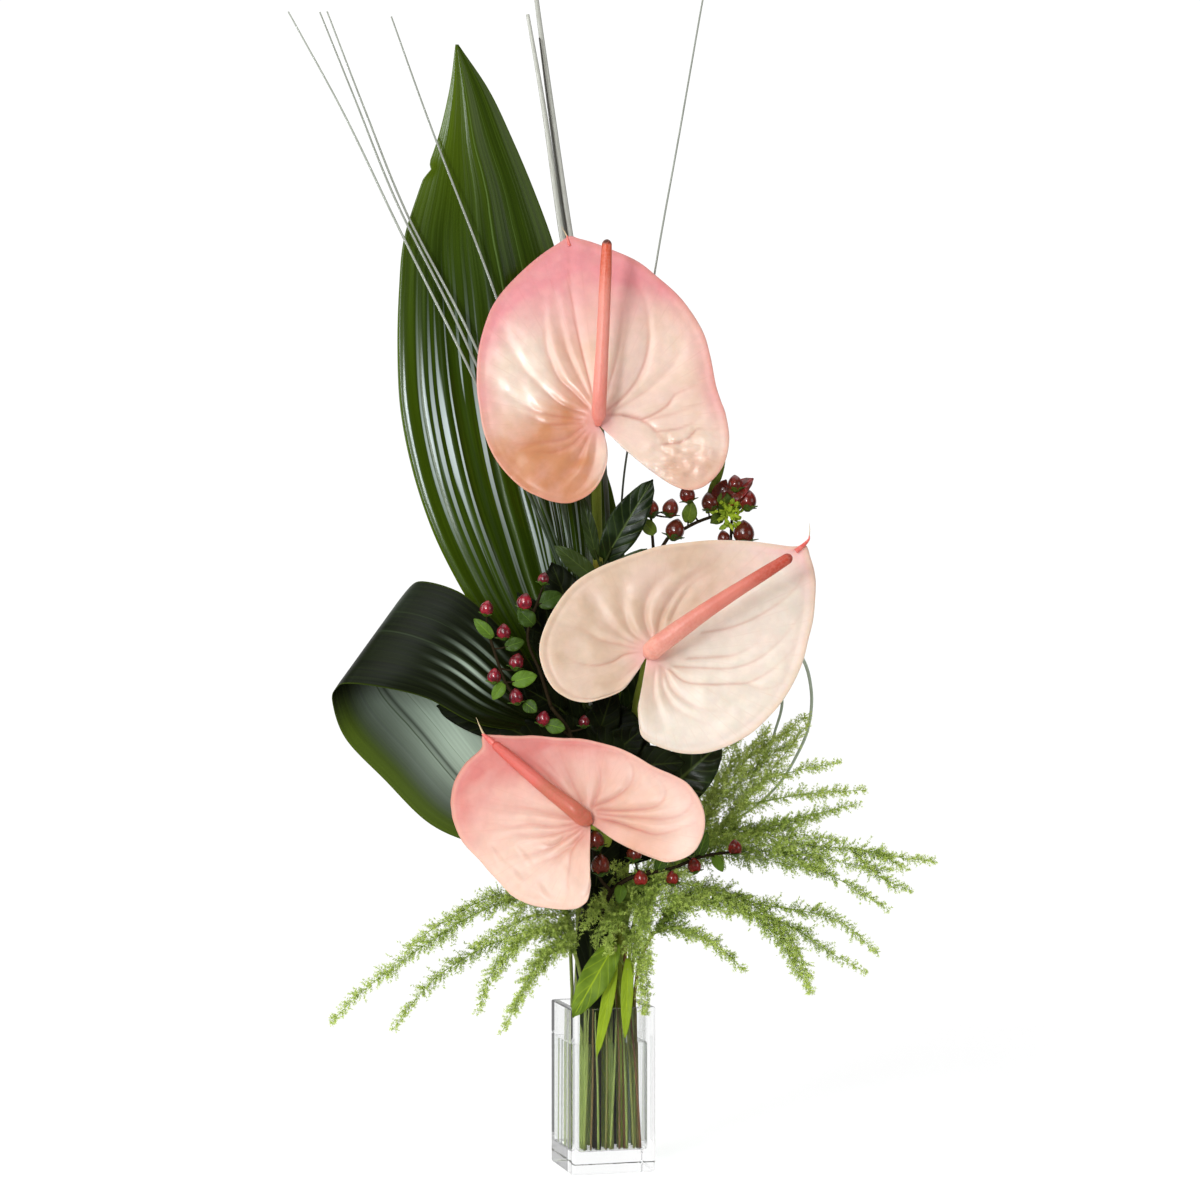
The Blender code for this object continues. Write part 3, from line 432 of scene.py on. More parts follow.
def cusp_look():
    """Red point of a bract with its dry end."""
    look = Look("bract_point", Coat_Weight=0.2)
    dry, _, _ = look.masks()
    grainy = look.noise(300.0, 3.0)
    color = look.layers(rgb(226, 92, 84), (look.step(grainy, 0.3, 0.7), rgb(238, 130, 118)),
                        (dry, rgb(214, 190, 150)))
    return look.finish(color, look.step(grainy, 0.3, 0.7, 0.35, 0.5), look.bump(grainy, 0.3, 0.0003))


def spadix_look(name, base, middle, end, change, tip):
    """Finger of tiny flowers, coloured along its length."""
    look = Look(name, Subsurface_Weight=0.2, Subsurface_Scale=0.002, Coat_Weight=0.15,
                Coat_Roughness=0.3)
    _, run, _ = look.split(look.grain)
    bud = look.cells(520.0)
    color = look.layers(base, (look.step(run, *change), middle), (look.step(run, 0.6, 0.95), end),
                        (look.step(run, 0.968, 0.985), tip),
                        (look.step(bud, 0.35, 0.75, 0.0, 0.3), middle),
                        (look.step(look.noise(60.0, 3.0), 0.4, 0.75, 0.0, 0.25), end))
    return look.finish(color, look.step(bud, 0.1, 0.8, 0.36, 0.5), look.bump(bud * -1.0, 0.45, 0.0004))


def stem_look(name, low, high, dark, gloss=0.38):
    """Fresh stem with fine lengthwise streaks. First mask: wood."""
    look = Look(name, Subsurface_Weight=0.0, Specular_IOR_Level=0.06)
    wood, _, _ = look.masks()
    streak = look.noise(30.0, 3.0, look.stretched(14.0, 2.0))
    color = look.layers(low, (look.step(streak, 0.35, 0.65), high),
                        (look.step(look.noise(22.0, 2.0), 0.52, 0.78, 0.0, 0.6), dark), (wood, dark))
    return look.finish(color, look.step(streak, 0.3, 0.7, gloss, gloss + 0.14),
                       look.bump(streak + look.noise(900.0) * 0.3, 0.3, 0.0003))


def broad_look(name, deep, bright, vein, pale, rib, gloss, ribs, level, bloom_and_highlight_streaks, dull):
    """Long leaf with parallel veins. Masks: glow, a pale waxy underside with painted highlight streaks, and
    margin.
    """
    look = Look(name, Specular_IOR_Level=level)
    glow, bloom_and_highlight, edge = look.masks()
    across, run, _ = look.split(look.grain)
    across = across + look.noise(3.0, 2.0, look.stretched(1.0, 4.0)) * 0.02
    streak = look.noise(1.0, 3.0, look.stretched(34.0, 2.5))
    gleam = look.noise(1.0, 1.0, look.stretched(38.0, 1.6))
    thread = look.math("PINGPONG", across * ribs, 0.5)
    # The pale layer is the underside's waxy colour and painted highlights where lamps shine on the pleats
    color = look.layers(deep, (look.step(streak, 0.38, 0.68), bright),
                        (look.step(look.noise(9.0, 2.0), 0.45, 0.75, 0.0, 0.5), deep),
                        (glow * look.step(streak, 0.2, 0.8, 0.7, 1.0), vein),
                        (look.step(thread, 0.0, 0.1, 0.06, 0.0), vein),
                        (bloom_and_highlight * look.step(gleam, *bloom_and_highlight_streaks), pale),
                        (look.step(abs(across - 0.52), 0.003, 0.009, 0.7, 0.0), rib),
                        (look.step(abs(across - 0.71), 0.001, 0.007, 0.4, 0.0), rib),
                        (edge * 0.6, vein))
    roughness = look.step(run, *dull) + look.step(streak, 0.3, 0.7, gloss, gloss + 0.06)
    height = look.step(thread, 0.0, 0.3) + streak * 0.8
    return look.finish(color, roughness, look.bump(height, 0.08, 0.0004))


def leaf_look(name, deep, bright, vein, gloss=0.36, veins=7.0, level=0.25):
    """Small leaf with a midrib and slanting side veins. Masks: youth and dimness."""
    look = Look(name, Subsurface_Weight=0.0, Specular_IOR_Level=level)
    young, dim, _ = look.masks()
    across, run, _ = look.split(look.grain)
    offset = abs(across - 0.5)
    slant = run * veins - offset * 3.2 + look.noise(90.0, 2.0) * 0.35
    ribs = look.step(look.math("PINGPONG", slant, 0.5), 0.0, 0.13, 1.0, 0.0)
    middle = look.step(offset, 0.008, 0.045, 1.0, 0.0)
    blotch = look.noise(70.0, 4.0)
    color = look.layers(deep, (look.step(blotch, 0.35, 0.68), bright), (young * 0.85, vein),
                        (ribs * 0.3, vein), (middle * 0.7, vein), (dim * 0.8, deep))
    height = ribs * -0.5 + middle * -0.8 + look.noise(420.0, 3.0) * 0.5
    return look.finish(color, look.step(blotch, 0.3, 0.7, gloss, gloss + 0.15),
                       look.bump(height, 0.5, 0.0004))


def berry_look(name, dark, red, blush):
    """Glossy fruit, paler towards its foot. First mask: age."""
    look = Look(name, Coat_Weight=0.7, Coat_Roughness=0.08, Subsurface_Weight=0.1,
                Subsurface_Scale=0.002)
    age, _, _ = look.masks()
    _, run, _ = look.split(look.grain)
    spots = look.noise(230.0, 3.0)
    color = look.layers(red, (look.step(spots, 0.35, 0.7), dark),
                        (look.step(run, 0.0, 0.35, 0.5, 0.0), blush), (age * 0.85, dark))
    return look.finish(color, look.step(spots, 0.3, 0.7, 0.2, 0.32),
                       look.bump(look.noise(500.0, 2.0), 0.2, 0.0003))


def needle_look(name, deep, green, tip, dry):
    """Needles of asparagus fern. Masks: youth, random tone and depth in the spray."""
    look = Look(name, Roughness=0.55, Subsurface_Weight=0.0)
    young, chance, inner = look.masks()
    cloud = look.noise(55.0, 2.0)
    color = look.layers(green, (inner * look.step(cloud, 0.2, 0.8, 0.6, 1.0), deep),
                        (young * 0.9, tip), (look.step(chance, 0.55, 1.0, 0.0, 0.5), tip),
                        (look.step(look.noise(120.0, 2.0), 0.6, 0.8, 0.0, 0.35), dry))
    return look.finish(color, look.step(cloud, 0.3, 0.7, 0.48, 0.62))


def grass_look(name, pale, grey, dark):
    """Dry steel-grey blade with dark edges and long streaks. Masks: shade and green; the green mask lays
    dark green low down as painted shade.
    """
    look = Look(name, Coat_Weight=0.1)
    shade, green, _ = look.masks()
    across, _, _ = look.split(look.grain)
    streak = look.noise(1.0, 4.0, look.stretched(9.0, 30.0))
    # The green layer is painted shade: dark green where the blades stand low among the leaves
    color = look.layers(pale, (look.step(streak, 0.3, 0.7), grey),
                        (look.step(abs(across - 0.5), 0.36, 0.49, 0.0, 0.5), dark), (shade, dark),
                        (green, (0.024, 0.045, 0.012)))
    return look.finish(color, look.step(streak, 0.3, 0.7, 0.45, 0.65), look.bump(streak, 0.4, 0.0003))


def clear_look(name, tint, ior, ripple, strength):
    """Clear glass or water that lets lamp light through to what is inside."""
    look = Look(name, IOR=ior, Roughness=0.0, Transmission_Weight=1.0)
    color = look.layers(tint, (look.step(look.noise(18.0), 0.3, 0.7), (1.0, 1.0, 1.0)))
    look.finish(color, normal=look.bump(look.noise(ripple, 1.0), strength, 0.001))
    surface = look.add("MixShader", 0, {0: look.add("LightPath", "Is Shadow Ray"),
                                        1: Value(look, look.shader.outputs[0]),
                                        2: look.add("BsdfTransparent", 0, {0: tint})})
    look.put(look.nodes["Material Output"].inputs[0], surface)
    return look.material


# Camera, light and floor

VIEW_DISTANCE = 2.0
VIEW_WIDTH = 0.78
SENSOR_WIDTH = 36.0
WHITE = 1.05
SOFT_LIGHT = 0.3
GLOSS_LIGHT = 0.02
GLOSS_WHITE = 0.75
ROOM_LIGHT = 0.35


def add_camera():
    data = bpy.data.cameras.new("camera")
    data.sensor_width = SENSOR_WIDTH
    data.lens = SENSOR_WIDTH * VIEW_DISTANCE / VIEW_WIDTH
    data.clip_end = 50.0
    item = bpy.data.objects.new("camera", data)
    item.location = (-0.00195, -VIEW_DISTANCE, 0.3679)
    item.rotation_euler = (math.radians(90), 0, 0)
    bpy.context.scene.collection.objects.link(item)
    bpy.context.scene.camera = item


def add_light(name, place, aim, size, power, color=(1.0, 1.0, 1.0)):
    data = bpy.data.lights.new(name, "AREA")
    data.shape = "RECTANGLE"
    data.size, data.size_y = size
    data.energy = power
    data.color = color
    item = bpy.data.objects.new(name, data)
    place = np.asarray(place, float)
    away = unit(place - np.asarray(aim, float))
    across = unit(np.cross((0, 0, 1), away))
    up = np.cross(away, across)
    rows = [[across[k], up[k], away[k], place[k]] for k in range(3)]
    item.matrix_world = Matrix(rows + [[0, 0, 0, 1]])
    bpy.context.scene.collection.objects.link(item)


def add_world():
    """White room: full white behind things, softer as a source of light and gloss."""
    world = bpy.data.worlds.new("studio")
    bpy.context.scene.world = world
    world.use_nodes = True
    graph = Graph(world.node_tree)
    x, y, _ = graph.split(graph.add("TexCoord", "Generated"))
    # White where the camera looks and through the glass, but not where its front mirrors the room
    room = ((x * 0.5 + y * -0.866) * -8.0 + 7.55).within(ROOM_LIGHT, 1.0)
    through = graph.add("LightPath", "Transmission Depth").within(0.0, 1.0) * room
    through = graph.math("MAXIMUM", graph.add("LightPath", "Is Camera Ray"), through)
    seen = through * (1.0 - graph.add("LightPath", "Diffuse Depth").within(0.0, 1.0))
    # Gloss sees the white background only at grazing angles
    gloss = (y * 1.8 - 0.65).within(GLOSS_LIGHT, GLOSS_WHITE)
    base = graph.add("LightPath", "Is Glossy Ray") * (gloss - SOFT_LIGHT) + SOFT_LIGHT
    back = graph.nodes["Background"]
    graph.put(back.inputs["Color"], (1.0, 1.0, 1.0))
    graph.put(back.inputs["Strength"], seen * WHITE + base * (1.0 - seen))


def add_floor():
    """Pale round floor that fades out far from the vase."""
    radii = np.array([0.0001, 0.4, 0.8, 1.2, 1.8, 2.4, 3.0])[:, None]
    sides = 64
    turn = np.arange(sides) / sides * 2 * math.pi
    points = np.stack(np.broadcast_arrays(np.cos(turn) * radii, np.sin(turn) * radii, -0.05 * MM), -1)
    faces, _ = grid(len(radii), sides, wrap=True)
    mesh = bpy.data.meshes.new("floor")
    mesh.from_pydata(points.reshape(-1, 3).tolist(), [], faces.tolist())
    floor = bpy.data.objects.new("floor", mesh)
    floor.visible_glossy = False
    floor.visible_transmission = False
    bpy.context.scene.collection.objects.link(floor)
    look = Look("floor_paper", Roughness=0.7, Specular_IOR_Level=0.2,
                Emission_Color=(1.0, 1.0, 1.0, 1.0), Emission_Strength=0.45)
    paper = look.step(look.noise(4.0, 3.0), 0.3, 0.7)
    look.finish(look.layers((0.93, 0.93, 0.93), (paper, (0.95, 0.95, 0.95))))
    distance = look.add("VectorMath", "Value", {0: look.place}, operation="LENGTH")
    look.put(look.shader.inputs["Alpha"], look.step(distance, 0.35, 1.3, 1.0, 0.0))
    mesh.materials.append(look.material)


# Flowers

# Hub, lean, outline by angle and reach, veins, finger and stem of each flower
FLOWERS = {
    "top": {
        "hub": (-3.0, -14.0, 481.0),
        "lean": (0.0, 0.25),
        "tip": 98.6,
        "lift": 7.0,
        "curl": 5.0,
        "wave": 1.6,
        "outline": [
            (299.6, 6.7), (290.7, 15.4), (283.8, 23.9), (276.9, 31.4), (270, 39), (263.1, 45.5),
            (256.2, 50.5), (249.3, 54.7), (240.4, 57.9), (231.4, 60.4), (221.5, 63.7),
            (210.4, 66.6), (200.3, 69.5), (191.2, 72), (182, 74.6), (172.9, 77.3), (161.7, 83),
            (147.6, 92.2), (134.5, 102.2), (126.6, 107.5), (119.6, 111.4), (112.7, 115.9),
            (106.8, 120.2), (101.8, 124), (98.5, 127.1), (95.9, 124.6), (92.5, 122),
            (86.8, 117.5), (77.2, 111.8), (69.3, 105.9), (56.9, 99.3), (43.1, 92.2),
            (32.4, 85.9), (19, 80.5), (11.2, 80.8), (4.1, 82.7), (-7.1, 85), (-18.3, 84.7),
            (-28.4, 80.5), (-35.5, 73.6), (-39.5, 62.7), (-41.4, 45.7), (-43.4, 22.7),
        ],
        "stem": [(2, 6, 220), (-2, 14, 330), (-4, 16, 420), (-4.5, 9, 462)],
        "place": (0, 0),
        "spadix": [(-3, -24, 485), (-2, -27, 502), (0, -26, 540), (2.5, -21, 597)],
        "spadix_radii": [4.6, 4.6, 4.4, 4.1, 4.0, 3.9, 3.8, 3.2],
        # Veins: depth of the crease, its half width, strength of its line (vein colour, partly painted
        # shade in the crease), then its points
        "veins": [
            (0.5, 1.6, 0.8, [(-0.5, 5.6), (-6.5, 30.7), (-12.4, 54.6), (-17, 78.5), (-19.2, 96.4),
                             (-19.6, 120)]),
            (1.4, 2.6, 0.45, [(-6.5, 11.6), (-16, 21.2), (-25.6, 30.7), (-32.7, 46.2), (-35.7, 65.3),
                              (-36.9, 84.4)]),
            (0.9, 2.4, 0.3, [(-5.3, 17.6), (-12.4, 30.7), (-20.8, 48.6), (-25.6, 65.3), (-28.5, 82)]),
            (1.2, 2.6, 0.3, [(-9.4, 8), (-23.2, 12.8), (-35.1, 22.3), (-47, 34.3), (-56.6, 48.6),
                             (-62.6, 61.7)]),
            (1.4, 2.4, 0.35, [(-10.6, 4.4), (-29.1, 6.2), (-43.5, 10.4), (-56.6, 17.6), (-68.5, 24.7)]),
            (1.0, 2.2, 0.3, [(-10.6, 1.5), (-29.1, 0.3), (-43.5, 4.4), (-59, 11.6), (-69.7, 14)]),
            (1.4, 2.4, 0.4, [(-9.4, -1.5), (-20.8, -8.7), (-35.1, -11.1), (-53, -12.9), (-65, -8.7)]),
            (1.2, 2.2, 0.4, [(-7.7, -3.9), (-16, -12.3), (-29.1, -17.6), (-45.9, -18.2),
                             (-55.4, -25.4)]),
            (1.0, 2.4, 0.35, [(-5.3, -5.1), (-11.2, -18.2), (-17.2, -29), (-29.1, -38.5)]),
            (0.7, 2.2, 0.3, [(-1.7, -5.1), (-2.9, -20.6), (-7.7, -35), (-16, -44.5)]),
            (0.8, 2.2, 0.25, [(3.1, 12.8), (7.9, 30.7), (12.6, 48.6), (15, 72.5), (12.6, 90.4)]),
            (1.3, 2.4, 0.5, [(5.5, 9.2), (18.6, 21.2), (28.2, 36.7), (32.3, 54.6), (30.5, 78.5),
                             (24.6, 92.8)]),
            (0.8, 2.4, 0.2, [(7.9, 8), (24.6, 17.6), (38.9, 29.5), (49.6, 42.6), (54.4, 60.5)]),
            (1.0, 1.8, 0.7, [(16.2, 6.2), (29.4, 4.2), (43.7, 12.2), (50.8, 20.6), (68.7, 27.1)]),
            (0.7, 2.0, 0.3, [(28.2, 2.1), (41.3, 5.6), (54.4, 9.2), (64, 12.8), (77.1, 11.6)]),
            (0.9, 1.8, 0.5, [(36.5, -4.5), (50.8, -2.7), (60.4, 0.9), (65.8, 5.6)]),
            (1.3, 1.8, 0.7, [(41.3, -12.9), (50.8, -11.7), (58, -8.7), (65.2, -2.1), (77.1, -2.7)]),
            (1.3, 2.2, 0.6, [(4.3, 6.2), (16.2, 6.6), (28.2, 3.2), (37.7, -5.1), (42.7, -14.7),
                             (44.9, -28.4)]),
        ],
    },
    "mid": {
        "hub": (28.0, -55.0, 333.0),
        "lean": (0.0, 0.2),
        "tip": 34.6,
        "lift": 6.0,
        "curl": 4.0,
        "wave": 1.4,
        "outline": [
            (-100.2, 34.4), (-97.2, 43.3), (-94.2, 50.9), (-87.2, 55.6), (-79.7, 59.7),
            (-71.1, 64.9), (-62.1, 69.9), (-53.5, 73.9), (-45, 77.7), (-36, 81.9), (-26, 86.1),
            (-18, 90.2), (-9.7, 94.4), (-2, 98.6), (5.4, 102.5), (11.9, 107.6), (18.1, 112.3),
            (22.8, 116.5), (26.8, 119.3), (30.8, 121.3), (34.4, 123.2), (35.8, 118.3),
            (37.1, 114.4), (41.8, 106), (47.8, 97.6), (54.8, 89.2), (61.3, 83.1), (71.8, 75),
            (83.5, 69.6), (94.8, 65.3), (105.9, 63.3), (119, 63.4), (132, 64.7), (143, 65.3),
            (154, 66), (163, 67.1), (172, 68.3), (179, 68.3), (185, 67.2), (191.9, 65.5),
            (199.4, 62.9), (205.8, 58.9), (211.8, 54.4), (217.8, 48.4), (222.3, 41.7),
            (228.8, 33.5), (234.8, 25.5), (237.8, 9.6),
        ],
        "stem": [(14, -6, 200), (21, -8, 290), (26, -20, 318), (28, -40, 330)],
        "place": (1, -1),
        "spadix": [(29, -65, 336), (39, -71, 343), (70, -74, 365), (115.8, -73, 394)],
        "spadix_radii": [6.3, 6.4, 6.0, 5.3, 4.8, 4.3, 4.0, 3.4],
        "veins": [
            (0.8, 2.0, 0.5, [(3.2, 2), (34.6, 25), (64.9, 45.6), (89.1, 63.1), (101.8, 72.2)]),
            (1.5, 2.4, 0.2, [(6.2, 10.5), (9.2, 25), (17.7, 39.5), (29.8, 51), (44.3, 59.5),
                             (60, 64.9)]),
            (1.5, 2.6, 0.2, [(3.2, 9.3), (-1.6, 22.6), (0.2, 37.1), (10.5, 49.2), (29.8, 58.3)]),
            (1.0, 2.2, 0.15, [(15.3, 22.6), (20.1, 32.3), (28.6, 44.4), (38.3, 51.6), (51.6, 58.3)]),
            (1.0, 2.4, 0.2, [(-0.4, 6.9), (-10.1, 15.3), (-15.5, 27.4), (-14.9, 40.7)]),
            (0.8, 2.4, 0.15, [(-2.2, 5), (-16.2, 12.9), (-28.2, 23.8), (-35.5, 37.1)]),
            (0.7, 2.0, 0.45, [(-2.8, 3.2), (-16.2, 6.6), (-29.5, 9.3), (-40.3, 15.3), (-56.1, 19.6)]),
            (0.9, 1.4, 0.85, [(-2.8, 2), (-13.7, 0.6), (-22.2, -4), (-33.1, -6.4), (-45.2, -4.6),
                              (-51.8, -1)]),
            (0.8, 2.2, 0.25, [(-1.6, -0.4), (-8.9, -8.9), (-19.8, -16.1), (-34.3, -18.5)]),
            (0.9, 1.8, 0.5, [(34.6, 14.1), (52.8, 17.7), (70.9, 25), (89.1, 37.1), (98.7, 49.2),
                             (100.6, 58.9)]),
            (0.9, 2.0, 0.45, [(26.2, -1.8), (40.7, -1.2), (56.4, 0.8), (70.9, 8.1)]),
            (0.9, 1.8, 0.45, [(17.7, -7), (34.6, -7.9), (54, -7.9), (70.9, -1.8), (86.6, 11.7),
                              (101.2, 31)]),
            (1.1, 1.8, 0.6, [(14.1, -8.9), (22.5, -16.1), (34.6, -18.2), (52.8, -17.9), (64.9, -16.7),
                             (80.6, -7.6), (95.1, 6.9)]),
            (1.3, 2.2, 0.4, [(10.5, -7.6), (15.3, -21), (25, -29.4), (37.1, -34.3), (50.4, -35.5)]),
            (1.2, 2.2, 0.35, [(8.6, -7.6), (10.5, -22.2), (17.7, -33), (32.2, -41.5), (41.9, -45.1)]),
            (0.8, 2.0, 0.25, [(5, -7.6), (3.8, -23.4), (6.8, -36.7), (9.2, -45.1)]),
            (0.7, 1.6, 0.3, [(61.2, -17.3), (74.6, -21), (86.6, -17.3)]),
        ],
    },
    "low": {
        "hub": (-8.0, -82.0, 229.0),
        "lean": (-0.428, 0.345),
        "tip": 141.0,
        "lift": 3.0,
        "curl": 0.0,
        "wave": 1.0,
        "outline": [
            (-33.1, 8.4), (-32.7, 20.1), (-29, 35.9), (-26.9, 45.2), (-24.9, 52.5),
            (-18.9, 60.4), (-12.9, 65.9), (-6, 69), (0.3, 70.5), (6.6, 70.7), (12.8, 69.5),
            (18.2, 67.6), (23.9, 64.9), (30.7, 59.7), (37, 55.3), (43.7, 52.3), (55.9, 50.3),
            (68.8, 49.5), (82.9, 49.6), (96.2, 51.7), (110.7, 55.2), (123.9, 63.6),
            (129.5, 67.9), (134.6, 73.5), (138.8, 79.9), (142.9, 86.2), (147, 82.3), (152, 84.1),
            (157.1, 87), (165.1, 89.5), (172.5, 89.5), (176.9, 88.3), (181.7, 86.6),
            (190.4, 81.7), (200.1, 73.9), (206.3, 71.2), (213.1, 68.7), (218.8, 67.7),
            (224.8, 66.6), (234.9, 62.7), (245.8, 57.8), (252.8, 55.5), (260.5, 52.9),
            (265.5, 49.6), (268.5, 46.1), (270.5, 38.4),
        ],
        "stem": [(3, -12, 170), (3, -30, 203), (1.4, -60, 221.5)],
        "place": (0, -1),
        "spadix": [(-11.4, -90, 232), (-20, -87, 239), (-38, -73, 252), (-67.5, -51, 275.5)],
        "spadix_radii": [5.6, 5.4, 4.8, 4.4, 4.1, 3.9, 3.7, 3.0],
        "veins": [
            (-1.2, 2.6, 0.9, [(-1.3, 1.8), (-22.4, 25.1), (-40.3, 39.1), (-66, 52)]),
            (0.8, 2.0, 0.5, [(-5.7, 12.9), (-11.3, 22.9), (-15.8, 32.9), (-22.4, 41.8)]),
            (1.0, 1.8, 0.6, [(0.9, 9.6), (5.2, 20.7), (5.9, 31.8), (3.2, 41.8)]),
            (1.2, 1.8, 0.65, [(2.9, 10.7), (16.5, 16.8), (24.9, 25.1), (26.8, 34), (22.1, 40.7)]),
            (1.5, 1.8, 0.7, [(4.3, 7.9), (23.2, 8.4), (38.8, 10.7), (45.5, 16.2), (46, 22.9),
                             (38.8, 30.7)]),
            (1.3, 1.8, 0.6, [(4.8, 5.7), (23.2, 4.5), (45.5, 4), (58.8, 8.4), (63.3, 16.2),
                             (58.8, 24)]),
            (1.8, 1.9, 0.8, [(3.7, 3.4), (17.6, 0.4), (28.8, -2.9), (39.9, -5.5), (53.2, -2.7),
                             (64.4, 1.8)]),
            (0.9, 2.4, 0.4, [(-9.1, 1.8), (-22.4, 5.1), (-38, 7.6), (-54.7, 9), (-71.4, 11.8)]),
            (1.1, 2.0, 0.5, [(-5.7, 0.4), (-21.3, -2.9), (-38, -1.8), (-51.4, -3.8), (-67, -1.6)]),
            (1.3, 2.0, 0.5, [(-4.6, -1.6), (-15.8, -5.1), (-31.4, -8.5), (-46.9, -8.5),
                             (-58.1, -13.8)]),
            (1.2, 2.0, 0.5, [(-4.6, -2.7), (-15.8, -9.6), (-26.9, -16.3), (-40.3, -20.7),
                             (-52.5, -23.8)]),
            (1.2, 2.0, 0.5, [(-4.1, -4.9), (-11.9, -13.8), (-21.3, -20.7), (-31.4, -25.2),
                             (-42.5, -31.6)]),
            (1.0, 1.8, 0.45, [(-3.7, -7.1), (-11.1, -16.3), (-13.5, -30.5), (-14.4, -45)]),
            (0.8, 1.8, 0.35, [(-15.8, -7.1), (-22.4, -13.8), (-33.6, -13.8), (-41.4, -17.2)]),
        ],
    },
}
# Dry or fresh points at a bract's edge: path, radii and dryness
CUSPS = {
    "top": [([(-21.5, -8.5, 597), (-22.8, -8.0, 601.5), (-23.4, -7.6, 604)], [1.2, 0.9, 0.5], 0.0),
            ([(-23.2, -7.7, 603), (-25, -7.4, 606.5), (-27, -7.2, 610)], [0.6, 0.3, 0.1], 1.0)],
    "mid": [([(123, -38.5, 399), (128, -37.5, 403), (131.2, -37.2, 406.5), (131.6, -37, 409)],
             [1.6, 1.5, 1.0, 0.4], 0.0),
            ([(131.5, -37.1, 408), (131.9, -37, 413), (131.4, -37, 417)], [0.35, 0.25, 0.1], 1.0)],
    "low": [([(-67, -41, 274), (-72.5, -38.5, 279), (-77, -37, 282.5)], [1.8, 2.1, 0.8], 0.0),
            ([(-76, -37.2, 282), (-78.5, -36.6, 287), (-81, -36, 293)], [0.8, 0.4, 0.12], 1.0)],
}
RAYS = 261
RINGS = 60


def distance_to(x, z, line):
    """Distance of points from a line of points, and their place along it."""
    best = np.full(x.shape, 1e9)
    place = np.zeros(x.shape)
    for k, (one, two) in enumerate(zip(line, line[1:])):
        dx, dz = two - one
        share = np.clip(((x - one[0]) * dx + (z - one[1]) * dz) / (dx * dx + dz * dz), 0, 1)
        gap = np.hypot(x - one[0] - share * dx, z - one[1] - share * dz)
        closer = gap < best
        best = np.where(closer, gap, best)
        place = np.where(closer, (k + share) / (len(line) - 1), place)
    return best, place


def bract_colours(name, tip, x, z, t):
    """Blush and warmth of a bract at places about its hub. t runs from hub to margin. On the top bract they
    also hold painted shade and a painted highlight.
    """
    rim = step(0.78, 1.0, t)
    away = np.hypot(x, z)
    turn = math.radians(tip)
    along = x * math.cos(turn) + z * math.sin(turn)
    aside = z * math.cos(turn) - x * math.sin(turn)
    if name == "top":
        high = z - 0.3 * np.maximum(x, 0) - 0.15 * np.minimum(x, 0)
        # Painted highlight: a pale patch on the left half where the lamps shine on the wax, made by taking
        # away blush and warmth
        painted_sheen = hill(x, -52, 19) * hill(z + 0.3 * (x + 52), 38, 30)
        blush = 0.06 + 0.85 * step(38, 112, high) + 0.4 * rim * step(-25, 20, z)
        blush += 0.3 * step(40, 85, x) * step(-5, 30, z) * step(70, 20, z)
        blush += 0.25 * step(-35, -70, x) * step(-15, 20, z) + 0.45 * step(22, 0, away)
        blush -= 0.15 * step(30, 50, x) * step(0, -20, z) + 0.3 * painted_sheen
        # Warm peach is the bract's own tone; its heavier weight round the left of the hub and over the
        # lower left is painted shade
        warm = 0.12 + 0.4 * step(12, -22, x) * step(80, 45, z)
        warm += 0.55 * step(60, 15, np.hypot(x + 14, z + 4)) * step(4, -12, x) * step(40, 0, z)
        warm += 0.3 * step(5, -25, z) * step(12, -10, x)
        warm += 0.25 * rim * step(0, -30, z) * step(10, -10, x)
        warm += 0.4 * step(35, 55, x) * step(-10, -28, z) - 1.2 * painted_sheen
    elif name == "mid":
        blush = 0.02 + 0.55 * step(96, 124, along) + 0.2 * rim * step(20, 70, x)
        blush += 0.3 * hill(aside, 8, 9) * step(60, 95, along) + 0.8 * step(20, 2, away)
        dull = np.maximum(step(-4, 12, aside) * step(112, 60, along), step(25, -25, x))
        warm = 0.05 + 0.85 * dull * (1 - 0.75 * step(-28, -46, z)) + 0.4 * step(40, 10, away)
    else:
        blush = 0.12 + 0.6 * step(20, 80, along) + 0.3 * rim * step(-25, 25, z)
        blush += 0.4 * step(14, 44, z) * step(35, 5, x) + 0.35 * step(24, 2, away)
        blush += 0.25 * hill(aside, -3, 12) * step(10, 40, along) - 0.12 * step(-5, -40, z)
        warm = 0.3 + 0.35 * step(50, 15, np.hypot(x - 8, z + 4)) - 0.25 * step(35, 65, x)
        warm += 0.25 * step(-4, -16, z) * step(10, 30, x) * step(60, 40, x)
    return np.clip(blush, 0, 1), np.clip(warm, 0, 1)


